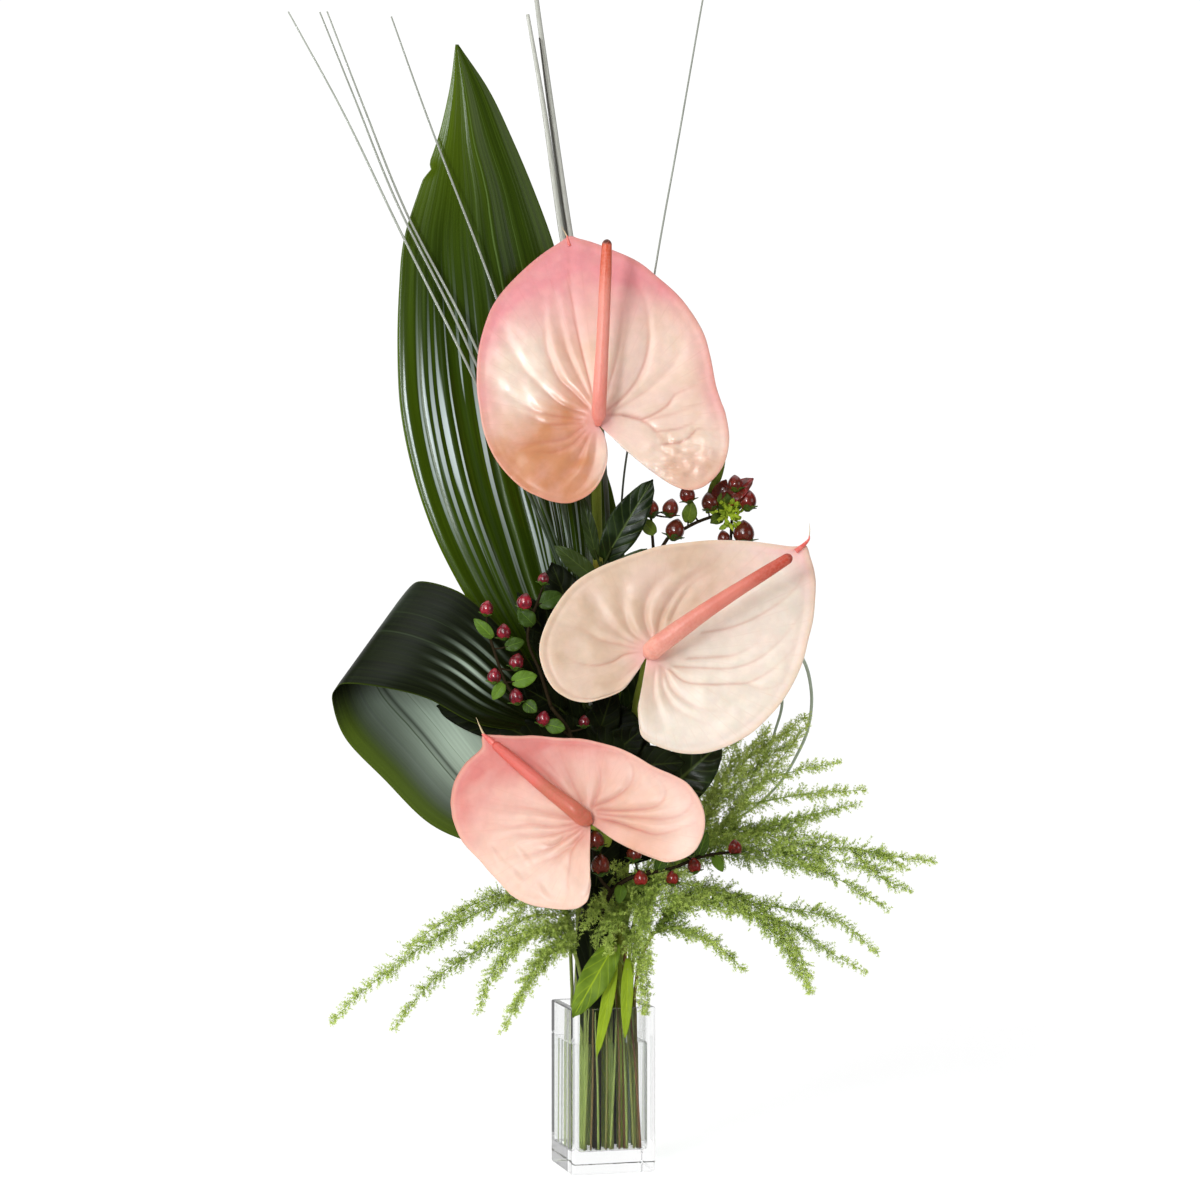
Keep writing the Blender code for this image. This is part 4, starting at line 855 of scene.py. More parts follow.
def bract_relief(name, veins, x, z, share, t):
    """Relief of a bract, and the strength of the lines along its veins, which are partly painted shade in
    the creases.
    """
    relief = np.zeros(x.shape)
    lines = np.zeros(x.shape)
    nearest_vein = np.full(x.shape, 1e9)
    # Creases along the main veins, with a soft swell between them
    for deep, half, strength, points in veins:
        line = smooth_path([(px, 0, pz) for px, pz in points], 24)[:, [0, 2]]
        gap, place = distance_to(x, z, line)
        fade = step(1.0, 0.35, place)
        relief -= 0.85 * deep * fade * hill(gap, 0, half * (0.7 + 0.8 * place))
        # Vein-coloured line along each crease, partly painted shade in the crease
        lines = np.maximum(lines, strength * (0.2 + 0.8 * fade) * hill(gap, 0, 0.55 * half))
        nearest_vein = np.minimum(nearest_vein, gap)
    relief += 0.6 * step(0.5, 7.5, nearest_vein) * step(1.05, 0.55, share)
    relief += 0.35 * rumple(x, z, 13, 3) + 0.15 * rumple(x, z, 6.5, 4)
    if name == "top":
        # Crumpled right lobe, dimpled left side and soft folds below
        right = step(25, 48, x) * step(2, -18, z)
        relief += right * (1.3 - 2.6 * np.abs(rumple(x, 1.6 * z, 8, 5))
                           + 2.2 * (0.5 - np.abs(rumple(x, z, 4.2, 6))))
        left = step(-25, -48, x) * step(-10, 10, z) * step(75, 50, z)
        relief += left * 0.75 * rumple(x + 0.5 * z, 0.6 * z, 7, 7)
        below = step(5, -12, x) * step(-8, -25, z)
        relief += below * 1.5 * rumple(x - z, 0.5 * (x + z), 11, 8)
    else:
        relief = 1.25 * relief + (0.15 + 0.35 * step(0, -30, z)) * rumple(x, z, 8, 5)
    if name == "low":
        relief += step(6, -12, x) * step(-4, -20, z) * 1.1 * rumple(x + 0.6 * z, 0.5 * z, 6, 9)
    relief *= step(0.02, 0.16, share) * step(1.0, 0.82, t)
    # Thick margin with a groove inside it
    groove = 0.35 if name == "mid" else 0.12
    relief += 0.5 * step(0.93, 1.0, t) - groove * hill(t, 0.93, 0.02)
    if name == "mid":
        # A line along the groove inside the curled margin, painted shade in the groove
        curl = hill(t, 0.925, 0.012) * step(20, -20, x) * step(20, -10, z)
        lines = np.maximum(lines, 0.3 * curl)
    return relief, lines * step(0.0, 0.1, share)


def front_of(flower):
    """Hub of a flower and the direction that its bract faces."""
    return np.array(flower["hub"]), unit((flower["lean"][0], -1.0, flower["lean"][1]))


def build_bract(name, flower, look, point):
    angles, radii = np.array(flower["outline"], float).T
    angles = np.radians(angles)
    edge = smooth_path(np.stack([radii * np.cos(angles), 0 * radii, radii * np.sin(angles)], 1), RAYS)
    angle = np.unwrap(np.arctan2(edge[:, 2], edge[:, 0]))
    angle += 2 * math.pi * round((angles[0] - angle[0]) / (2 * math.pi))
    t = np.linspace(0.012, 1.0, RINGS)[None, :] ** 0.9
    run = np.hypot(edge[:, 0], edge[:, 2])[:, None] * t
    turn = angle[:, None] + 0 * run
    x = run * np.cos(turn)
    z = run * np.sin(turn)
    share = run / radii.max()
    along = np.cos(turn - math.radians(flower["tip"]))
    depth = x * flower["lean"][0] + z * flower["lean"][1]
    depth = depth - flower["lift"] * share ** 2 * np.maximum(-along, 0) ** 1.5
    depth = depth + flower["curl"] * share ** 3 * np.maximum(along, 0) ** 2
    depth = depth + flower["wave"] * share ** 2 * np.sin(3 * turn)
    relief, lines = bract_relief(name, flower["veins"], x, z, share, t)
    hub, front = front_of(flower)
    points = hub + np.stack([x, depth, z], -1) + front * relief[..., None]
    masks = masks_of(*bract_colours(name, flower["tip"], x, z, t), lines)
    maps = masks_of(np.degrees(turn) / 18, t)
    if np.mean(normals_of(points)[..., 1]) > 0:
        points, masks, maps = points[::-1], masks[::-1], maps[::-1]
    shape = Shape()
    shape.sheet(points, SPATHE_THICKNESS, masks, 0, maps, 0.7, 0.04)
    for knots, radii, dry in CUSPS[name]:
        shape.tube(smooth_path(knots, 16), radii, 10, (dry, 0, 0), 1)
    shape.make(f"bract_{name}", [look, point], [f"spathe_{name}"])


def build_finger(name, flower, look):
    hub, front = front_of(flower)
    foot = hub + front * (SPATHE_THICKNESS / 2 + CLEARANCE)
    second = np.array(flower["spadix"][1], float)
    knots = [foot, foot + 0.45 * (second - foot) + front * 2.2]
    count = 150
    path = smooth_path(knots + flower["spadix"][1:], count)
    onward = unit(path[-1] - path[-2])
    path = np.vstack([path, path[-1] + onward * 1.2, path[-1] + onward * 2.2, path[-1] + onward * 2.8])
    run = np.linspace(0, 1, count)
    radii = spread(flower["spadix_radii"], run) * (0.45 + 0.55 * step(-0.01, 0.07, run))
    radii = np.concatenate([radii, radii[-1] * np.array([0.85, 0.6, 0.3])])

    def buds(u, v):
        turns = 2 * math.pi * 7 * u
        rows = 2 * math.pi * v * 34
        return 0.13 * np.cos(turns + rows) * np.cos(turns - rows) * step(1.0, 0.93, v)

    shape = Shape()
    shape.tube(path, radii, 42, swell=buds)
    shape.make(f"finger_{name}", [look], [f"spadix_{name}"])


def stem_path(place, route, count):
    """Straight run from the vase floor to the neck, then a smooth route."""
    x, y = place
    foot = in_vase(x * FLOOR_PITCH, y * FLOOR_PITCH, STEM_FOOT)
    neck = in_vase(x * NECK_PITCH, y * NECK_PITCH, NECK_HEIGHT)
    straight = foot + (neck - foot) * np.linspace(0, 1, 14)[:-1, None]
    return np.vstack([straight, smooth_path([neck] + route, count)])


def build_flower_stem(name, flower, look):
    hub, front = front_of(flower)
    seat = SPATHE_THICKNESS / 2 + CLEARANCE
    route = flower["stem"] + [hub - front * (seat + 7)]
    path = np.vstack([stem_path(flower["place"], route, 90), hub - front * seat])
    shape = Shape()
    shape.tube(path, [3.5, 3.4, 3.3, 3.2], 20,
               swell=lambda u, v: 0.12 * np.sin(2 * math.pi * 5 * u + 4 * v) * step(0, 0.1, v))
    shape.make(f"stalk_{name}", [look], [f"stem_anthurium_{name}"])


# Broad leaves

# Height, left edge, middle, right edge and depth
TALL_LEAF = [
    (272, -12, -8, -4, 14), (302, -38, -13, -1, 15), (329, -60, -18, -2, 17),
    (355, -80, -24, -3, 19), (381, -96, -31, -4, 21), (414, -112, -38, -6, 23),
    (453, -125, -47, -9, 26), (493, -133, -54, -12, 28), (533, -135, -61, -18, 29),
    (572, -134, -67, -24, 29), (605, -131, -73, -33, 30), (638, -121, -78, -45, 30),
    (671, -109, -86, -59, 28), (704, -101, -91, -75, 25), (733, -97, -96, -95, 22),
]
# Height, half width and depth
BACK_LEAF = [
    (264, 4, 44), (288, 12, 45), (328, 19, 46), (368, 20, 47), (408, 16, 48),
    (437, 10, 49), (448, 7, 50), (461, 3, 50), (476, 1, 50),
]
# Middle, half width and turn of its width in degrees
FOLDED_LEAF = [
    ((-15, -4, 192), 3, 42), ((-37, -3, 208), 10, 44), ((-64, 1, 224), 22, 46),
    ((-92, 5, 245), 31, 48), ((-121, 9, 278), 35, 51), ((-146, 9, 307), 37, 53),
    ((-155, 1, 331), 36, 54), ((-148, -14, 344), 40, 54), ((-138, -26, 347), 41, 53),
    ((-115, -33, 342), 39, 51), ((-91, -32, 330), 33, 50), ((-66, -27, 310), 27, 50),
    ((-47, -21, 296), 15, 52), ((-33, -16, 287), 3, 52),
]


def ribbon(stations, count, columns, pleat, pleats, rib, ribs, seed, where=lambda u, v: 1.0):
    """Grid of points of a long pleated leaf, and each point's place across and along it."""
    centres, lefts, rights = [smooth_path(knots, count) for knots in zip(*stations)]
    u = np.linspace(-1, 1, columns)[None, :]
    v = np.linspace(0, 1, count)[:, None]
    right = centres[:, None] + (rights - centres)[:, None] * np.maximum(u, 0)[..., None]
    points = right + (lefts - centres)[:, None] * np.maximum(-u, 0)[..., None]
    across = unit(rights - lefts)
    room = np.minimum(1, np.linalg.norm(rights - lefts, axis=1) / 40)[:, None]
    out = np.stack([-across[:, 1], across[:, 0], 0 * across[:, 0]], 1)
    out[np.linalg.norm(out, axis=1) < 0.5] = (0, 1, 0)
    out = unit(out)
    wander = 0.35 * rumple(v * 60, u * 3 + 0 * v, 12, seed)
    bulge = 0.5 * pleat * np.cos(math.pi * pleats * (u + 1) / 2 + wander)
    bulge = bulge + rib * where(u, v) * np.cos(2 * math.pi * ribs * (u + 1) / 2 + 2 * wander)
    bulge = bulge + 0.9 * rumple(v * 400, u * 50, 55, seed + 1)
    return points + out[:, None] * (bulge * room)[..., None], u, v


def make_broad_leaf(name, points, masks, place, route, looks):
    shape = Shape()
    shape.sheet(points, LEAF_THICKNESS, masks, 0)
    shape.tube(stem_path(place, route, 40), [2.5, 2.5, 2.5, 2.2, 1.5], 14, look=1)
    shape.make(f"broad_leaf_{name}", looks, [f"aspidistra_{name}"])


def build_tall_leaf(green, stalk):
    stations = []
    for height, left, middle, right, depth in TALL_LEAF:
        stations.append(((middle, depth, height), (left, depth - 0.1 * (middle - left), height),
                         (right, depth + 0.3 * (right - middle), height)))
    points, u, v = ribbon(stations, 150, 78, 0.9, 6, 0.5, 12, 21,
                          lambda u, v: 0.08 + 0.92 * step(0.72, 0.5, v) * step(0.75, 0.1, u))
    nick = hill(points[:, :1, 2], 651, 3.2) * step(-0.75, -1.0, u)
    points[..., 0] += 3.0 * nick
    points[..., 1] -= 1.5 * nick
    # Lighter yellow-green over the top and left of the blade and along its sides: the leaf's own tone, laid
    # on more where the lamps fall, as painted light
    glow = 0.9 * step(0.68, 0.95, v) * step(0.9, -0.8, u) + 0.25 * step(-0.7, -0.95, u)
    glow = glow + 0.3 * step(0.55, 0.95, u) * step(0.3, 0.8, v)
    # Painted highlights: pale streaks low on the left and right of the blade, where the lamps shine on its
    # pleats
    bloom_and_highlight = 0.9 * hill(v, 0.46, 0.12) * hill(u, -0.55, 0.4) + 0.85 * hill(v, 0.3, 0.1) * hill(u, 0.25, 0.45)
    make_broad_leaf("tall", points, masks_of(glow, bloom_and_highlight, step(0.965, 1.0, np.abs(u))), (-1, 1),
                    [(-10, 9.5, 200), (-8.5, 13, 250), (-9, 14.2, 284)], [green, stalk])


def build_back_leaf(back, stalk):
    middle = -3
    stations = []
    for height, half, depth in BACK_LEAF:
        stations.append(((middle, depth, height), (middle - half, depth - 1, height),
                         (middle + half, depth - 1, height)))
    points, u, v = ribbon(stations, 90, 30, 1.0, 3, 0.3, 5, 31)
    make_broad_leaf("back", points, masks_of(0.4 + 0 * v, 0, step(0.95, 1.0, np.abs(u))), (0, 1),
                    [(-3, 14, 165), (-3, 30, 222), (-3, 43, 262), (-3, 44.6, 276)], [back, stalk])


def build_folded_leaf(dark, stalk):
    stations = []
    for centre, half, angle in FOLDED_LEAF:
        turn = math.radians(angle)
        across = np.array((math.cos(turn), 0, math.sin(turn)))
        stations.append((centre, centre - across * half, centre + across * half))
    points, u, v = ribbon(stations, 200, 60, 0.8, 6, 0.5, 9, 41,
                          lambda u, v: 0.08 + 0.92 * step(0.78, 0.95, v) * step(-0.9, -0.2, u))
    rear = step(0.56, 0.46, v)
    glow = rear * step(-0.35, -0.9, u)
    # The pale underside is the leaf's own waxy colour, weighted brighter towards its upper edge as painted
    # light
    bloom_and_highlight = rear * (0.2 + 0.75 * step(-0.5, 0.8, u)) * step(-0.75, -0.35, u)
    bloom_and_highlight = bloom_and_highlight * (0.55 + 0.45 * step(0.05, 0.4, v)) * (1.15 - 0.5 * step(0.3, 0.45, v))
    # Painted highlights along the ribs where the leaf comes back to the front, and a softer painted
    # highlight on the fold
    highlight_bands = step(0.25, 0.9, np.cos(2 * math.pi * 4.4 * (u + 0.05 * np.sin(9 * v))))
    bloom_and_highlight = bloom_and_highlight + 0.9 * highlight_bands * hill(v, 0.825, 0.045) * hill(u, -0.02, 0.45)
    bloom_and_highlight = bloom_and_highlight + 0.22 * hill(v, 0.57, 0.05) * step(-0.3, 0.8, u)
    bloom_and_highlight = bloom_and_highlight * (1 - 0.75 * hill(u, 0.12, 0.035))
    make_broad_leaf("folded", points, masks_of(glow, bloom_and_highlight, step(0.965, 1.0, np.abs(u))), (-2, 0),
                    [(-15.5, -4.2, 170), (-17, -4, 193), (-30, -3.5, 202)], [dark, stalk])


# Small leaves and sprigs

def small_leaf(shape, base, tip, width, normal, look=0, young=0.0, dim=0.0, rows=22, columns=11,
               cup=0.15, droop=0.06, curl=0.0, seed=0):
    """Pointed oval leaf with a keel, soft side veins and a wavy margin."""
    base = np.asarray(base, float)
    along = np.asarray(tip, float) - base
    length = np.linalg.norm(along)
    normal = np.asarray(normal, float)
    normal = unit(normal - along * normal.dot(along) / along.dot(along))
    across = np.cross(unit(along), normal)
    t = np.linspace(0, 1, rows)[:, None]
    u = np.linspace(-1, 1, columns)[None, :]
    half = np.sin(math.pi * (0.06 + 0.9 * t) ** 0.85) ** 0.8 * width / 2
    half = np.maximum(half * step(1.0, 0.9, t) ** 0.5, 0.25)
    centre = base + along * t - normal * (droop * length * (2 * t - 1) ** 2)
    wave = 0.05 * width * np.sin(2 * math.pi * (2.2 * t + 0.3 * seed)) * np.abs(u) ** 2
    ribs = 0.014 * width * np.cos(2 * math.pi * (6.5 * t - 1.6 * np.abs(u)))
    rise = cup * half * (np.sqrt(u ** 2 + 0.01) - 0.1) + wave + ribs * step(0, 0.3, np.abs(u))
    rise = rise - curl * length * t ** 2
    points = centre[:, None] + across * (half * u)[..., None] + normal * rise[..., None]
    shape.sheet(points, 0.7, (young, dim, 0.0), look, edge=0.5)
    return points[rows // 6, columns // 2].copy()


def nearest(point, lines):
    knots = np.concatenate([np.asarray(line) for line in lines])
    return knots[np.argmin(np.linalg.norm(knots - np.asarray(point, float), axis=1))]


def stalk_between(shape, start, end, radius, look):
    length = np.linalg.norm(end - start)
    if length < 0.5:
        return
    middle = (start + end) / 2 - np.array((0, 0, 0.04 * length))
    shape.tube(smooth_path([start, middle, end], 7), [radius, radius * 0.75], 7, look=look)


FRONT = (0, -1, 0.15)
# Leaves: start on the stem, base, tip and width
SPRIGS = {
    "upper": {
        "place": (1, 0),
        "route": [(10, 5, 200), (9, 3, 290), (3, 1, 350), (-1.5, -1, 393)],
        "leaves": [
            ((-1, -1, 388), (1, -1.5, 394), (32, -7, 446), 23),
            ((0, -0.5, 380), (3, -4, 384), (28, -12, 401), 9),
            ((0, -0.5, 376), (-4, -4, 381), (-31, -8, 403), 13),
            ((-1.5, -1, 388), (-4, -1, 394), (-14, -5, 437), 9),
            ((9.8, 4.6, 205), (34, -11, 238), (76, -20, 276), 34),
            ((9, 3, 285), (14, 4, 296), (44, 2, 330), 24),
        ],
    },
    # The centre sprig's leaves are coloured near black, painted shade for the dark heart of the bunch
    "center": {
        "place": (-1, 0),
        "route": [(-9, -4, 180), (-10, -7, 240), (-12, -12, 290), (-13, -14, 345)],
        "leaves": [
            ((-13, -13.5, 335), (-14, -15, 342), (-33, -20, 392), 28),
            ((-13, -13, 318), (-9, -15, 325), (10, -21, 378), 27),
            ((-12, -12, 285), (-17, -10, 292), (-52, -3, 322), 24),
            ((-11, -9.5, 262), (-7, -14, 268), (7, -24, 312), 22),
            ((-10, -7, 235), (-15, -9, 240), (-50, -17, 262), 24),
            ((-10, -6, 215), (-8, -13, 222), (6, -26, 250), 22),
            ((-10, -8, 250), (-12, -12, 262), (-70, -24, 290), 26),
            ((-12, -11, 280), (-12, -14, 285), (-66, -30, 335), 26),
            ((-12, -13, 305), (-12, -15, 310), (-54, -32, 372), 26),
            ((-10, -9, 255), (-5, -12, 258), (26, -28, 286), 26),
            ((-10, -8, 245), (0, -14, 250), (34, -26, 268), 22),
            ((-10, -6, 205), (2, -20, 205), (44, -38, 214), 20),
            ((-10, -6, 195), (-2, -22, 190), (-6, -46, 212), 18),
            ((-9, -5, 185), (4, -24, 178), (34, -42, 192), 18),
            ((-12, -13, 320), (-20, -16, 322), (-44, -28, 350), 24),
            ((-12, -11, 285), (-24, -20, 296), (-50, -34, 312), 22),
            ((-12, -12, 285), (-42, -19, 286), (-108, -13, 300), 28),
            ((-12, -12, 300), (-8, -15, 300), (30, -24, 268), 28),
            ((-10, -8, 255), (8, -18, 260), (52, -30, 264), 26),
            ((-9, -5, 182), (-5, -38, 184), (2, -52, 236), 25),
            ((-9, -5, 185), (4, -36, 196), (18, -50, 228), 20),
            ((-12, -11, 278), (-12, -15, 272), (-34, -30, 294), 22),
        ],
    },
    "lime": {
        "place": (0, -2),
        "route": [(5, -18, 128), (7, -34, 146), (7.5, -44, 149), (8, -50, 147)],
        "leaves": [
            ((7.5, -46, 148), (8, -50, 151), (-19, -61, 105), 19),
            ((8, -48, 146), (8, -51, 141), (-4, -60, 80), 8),
            ((7, -36, 146), (16, -48, 141), (14, -60, 92), 8),
        ],
    },
}
COLLAR = ((-8, -21, 84), (-8, -34, 192), 28)


def build_sprig(name, leaf, stalk, young):
    sprig = SPRIGS[name]
    shape = Shape()
    path = stem_path(sprig["place"], sprig["route"], 60)
    shape.tube(path, [1.6, 1.6, 1.1], 10, look=1)
    for number, (start, base, tip, width) in enumerate(sprig["leaves"]):
        inside = small_leaf(shape, base, tip, width, FRONT, young=young[number % len(young)],
                            rows=34, columns=15, seed=number)
        stalk_between(shape, nearest(start, [path]), inside, 1.0, 1)
    if name == "center":
        small_leaf(shape, *COLLAR, (-0.5, -1, 0), rows=30, columns=13, cup=-0.5, droop=0.0)
    shape.make(f"sprig_{name}", [leaf, stalk], [f"leaves_{name}"])


# Berries

# Berries: middle, radius and age. Leaves: base, tip, width and for some how dull they are
BERRIES = {
    "left": {
        "place": (-1, -1),
        "route": [(-8, -19, 180), (-14, -32, 240), (-20, -40, 280), (-33, -44, 300)],
        "forks": [
            [(-20, -40, 280), (-45, -44, 300), (-60, -47, 312), (-70, -45, 338), (-74, -42, 352)],
            [(-33, -44, 300), (-40, -44, 322), (-48, -42, 345), (-40, -39, 372)],
        ],
        "berries": [((-74, -42, 362), 4.4, 0.1), ((-50, -41, 366), 5.0, 0.05),
                    ((-38, -38, 381), 3.6, 0.3), ((-63, -44, 347), 4.6, 0.35),
                    ((-55, -46, 328), 4.8, 0.35), ((-69, -47, 319), 4.4, 0.0),
                    ((-55, -47, 306), 4.6, 0.5), ((-38, -45, 292), 4.4, 0.4),
                    ((-12, -41, 290), 3.6, 0.7)],
        "leaves": [((-70, -46, 344), (-82, -45, 356), 8), ((-41, -40, 365), (-26, -38, 372), 12, 0.9),
                   ((-44, -42, 352), (-54, -43, 362), 11, 0.7),
                   ((-62, -47, 338), (-50, -46, 342), 9, 0.6), ((-58, -48, 316), (-42, -50, 320), 11),
                   ((-63, -49, 315), (-70, -50, 305), 8), ((-50, -48, 303), (-42, -51, 297), 9),
                   ((-36, -46, 289), (-24, -48, 286), 10)],
    },
    "right": {
        "place": (1, 1),
        "route": [(8, 18, 200), (14, 24, 280), (24, 21, 345), (34, 10, 392), (42, 3, 408)],
        "forks": [
            [(34, 10, 392), (32, 5, 412), (31, 1, 424)],
            [(42, 3, 408), (60, 4, 418), (76, 3, 424), (92, 1, 431)],
            [(24, 21, 345), (52, 18, 370), (80, 10, 396), (84, 6, 420)],
        ],
        "berries": [((31, 0, 427), 5.6, 0.8), ((44, 0, 427), 5.376, 0.8), ((55, -1, 436), 5.152, 0.6),
                    ((47, 2, 413), 6.272, 0.9), ((70, 2, 431), 5.824, 0.9), ((86, -1, 443), 4.928, 0.3),
                    ((94, 0, 432), 6.048, 0.5), ((92, 4, 411), 6.944, 0.9), ((79, 6, 408), 4.256, 0.8)],
        "leaves": [((34, 3, 411), (24, 1, 421), 9), ((55, 2, 418), (58, -1, 432), 10),
                   ((68, 3, 424), (73, -1, 449), 6), ((80, 3, 425), (78, -3, 438), 12),
                   ((78, 3, 423), (70, -5, 418), 8), ((72, 3, 440), (79, -1, 460), 5)],
    },
    "low": {
        "place": (-1, -2),
        "route": [(-2, -26, 150), (3, -42, 178), (14, -48, 190), (30, -50, 196)],
        "forks": [
            [(6, -44, 182), (-1, -49, 190), (-5, -58, 202), (-6, -64, 212)],
            [(22, -49, 193), (44, -49, 198), (62, -48, 205), (82, -46, 208)],
        ],
        "berries": [((-1.5, -70, 201), 6.0, 0.9), ((-4.5, -76, 217), 5.6, 0.8),
                    ((20, -50, 207), 5.0, 0.7), ((24, -52, 191), 4.6, 0.3), ((53, -48, 210), 4.6, 0.6),
                    ((58, -49, 199), 4.4, 0.3), ((44, -49, 191), 4.2, 0.3), ((84, -46, 210), 4.6, 0.2)],
        "leaves": [((60, -48, 204), (66, -50, 221), 8), ((34, -50, 196), (40, -53, 208), 8),
                   ((12, -48, 188), (10, -52, 176), 8), ((70, -48, 206), (76, -50, 196), 7)],
    },
}


def add_berry(shape, centre, radius, age, look, rng):
    """Egg-shaped fruit with three soft furrows, a dry point and five sepals."""
    rows, columns = 14, 20
    rise = np.linspace(0.04, math.pi - 0.02, rows)[:, None]
    turn = np.arange(columns)[None, :] / columns * 2 * math.pi
    height = -np.cos(rise)
    high = np.maximum(height, 0)
    girth = np.sin(rise) * (1 - 0.04 * np.cos(3 * turn) * np.sin(rise)) * (1 - 0.22 * high ** 2)
    height = height + 0.25 * high + 0.07 * step(0.94, 1.0, high)
    local = masks_of(girth * np.cos(turn), girth * np.sin(turn), height) * radius
    x_tilt, y_tilt = rng.uniform(-0.25, 0.25, 2)
    tilt = np.array(Matrix.Rotation(x_tilt, 3, "X") @ Matrix.Rotation(y_tilt, 3, "Y")).T
    centre = np.asarray(centre, float)
    faces, maps = grid(rows, columns, wrap=True)
    shape.add(local @ tilt + centre, faces, maps, (age, 0, 0), look)
    start = rng.uniform(0, 6.28)
    for k in range(5):
        angle = start + k * 2 * math.pi / 5 + rng.uniform(-0.2, 0.2)
        away = np.array((math.cos(angle), math.sin(angle), 0.0))
        base = np.array((0, 0, -0.97)) * radius + away * 0.12 * radius
        tip = away * radius * rng.uniform(1.1, 1.35) + np.array((0, 0, -0.45)) * radius
        facing = (np.array((0, 0, 1.0)) - away * 0.5) @ tilt
        small_leaf(shape, base @ tilt + centre, tip @ tilt + centre, radius * 0.75, facing, look + 1,
                   young=0.3 - 0.3 * age, dim=0.6 * age, rows=6, columns=5, droop=0.12)


def curly_tuft(shape, centre, look, rng):
    """Crumpled tuft of tiny young leaves."""
    for _ in range(90):
        away = unit(rng.normal(size=3) * (1, 0.6, 1))
        base = np.array(centre, float) + away * (8.5, 6, 8.5) * rng.uniform(0, 1)
        small_leaf(shape, base, base + unit(away + rng.normal(size=3) * 0.5) * rng.uniform(3.0, 6.0),
                   rng.uniform(1.8, 3.6), FRONT, look, young=rng.uniform(0.0, 1.0), rows=7, columns=4,
                   curl=rng.uniform(-0.4, 0.4), seed=rng.integers(9))


def build_spray(name, looks, rng):
    spray = BERRIES[name]
    shape = Shape()
    path = stem_path(spray["place"], spray["route"], 60)
    shape.tube(path, [2.0, 2.0, 1.2], 10, look=2)
    lines = [path[16:]]
    for fork in spray["forks"]:
        line = smooth_path([nearest(fork[0], [path])] + fork[1:], 30)
        shape.tube(line, [1.2, 0.9], 8, look=2)
        lines.append(line)
    for centre, radius, age in spray["berries"]:
        start = nearest(centre, lines)
        stalk_between(shape, start, np.array(centre) - (0, 0, radius), 0.7, 2)
        add_berry(shape, centre, radius, age, 0, rng)
    for number, (base, tip, width, *dim) in enumerate(spray["leaves"]):
        inside = small_leaf(shape, base, tip, width, FRONT, 1, young=rng.uniform(0.1, 0.7),
                            dim=sum(dim), rows=16, columns=9, seed=number,
                            curl=rng.uniform(-0.1, 0.15))
        stalk_between(shape, nearest(base, lines), inside, 0.6, 2)
    if name == "right":
        curly_tuft(shape, (81, 0, 424), 3, rng)
        small_leaf(shape, (76, 1, 430), (97, -3, 447), 13, FRONT, 0, young=0.15, rows=20, columns=11,
                   cup=0.6, droop=0.2)
        small_leaf(shape, (72, 0, 432), (80, -3, 446), 9, FRONT, 0, young=0.9, rows=16, columns=9)
    shape.make(f"berries_{name}", looks, [f"hypericum_{name}"])


# Ferns

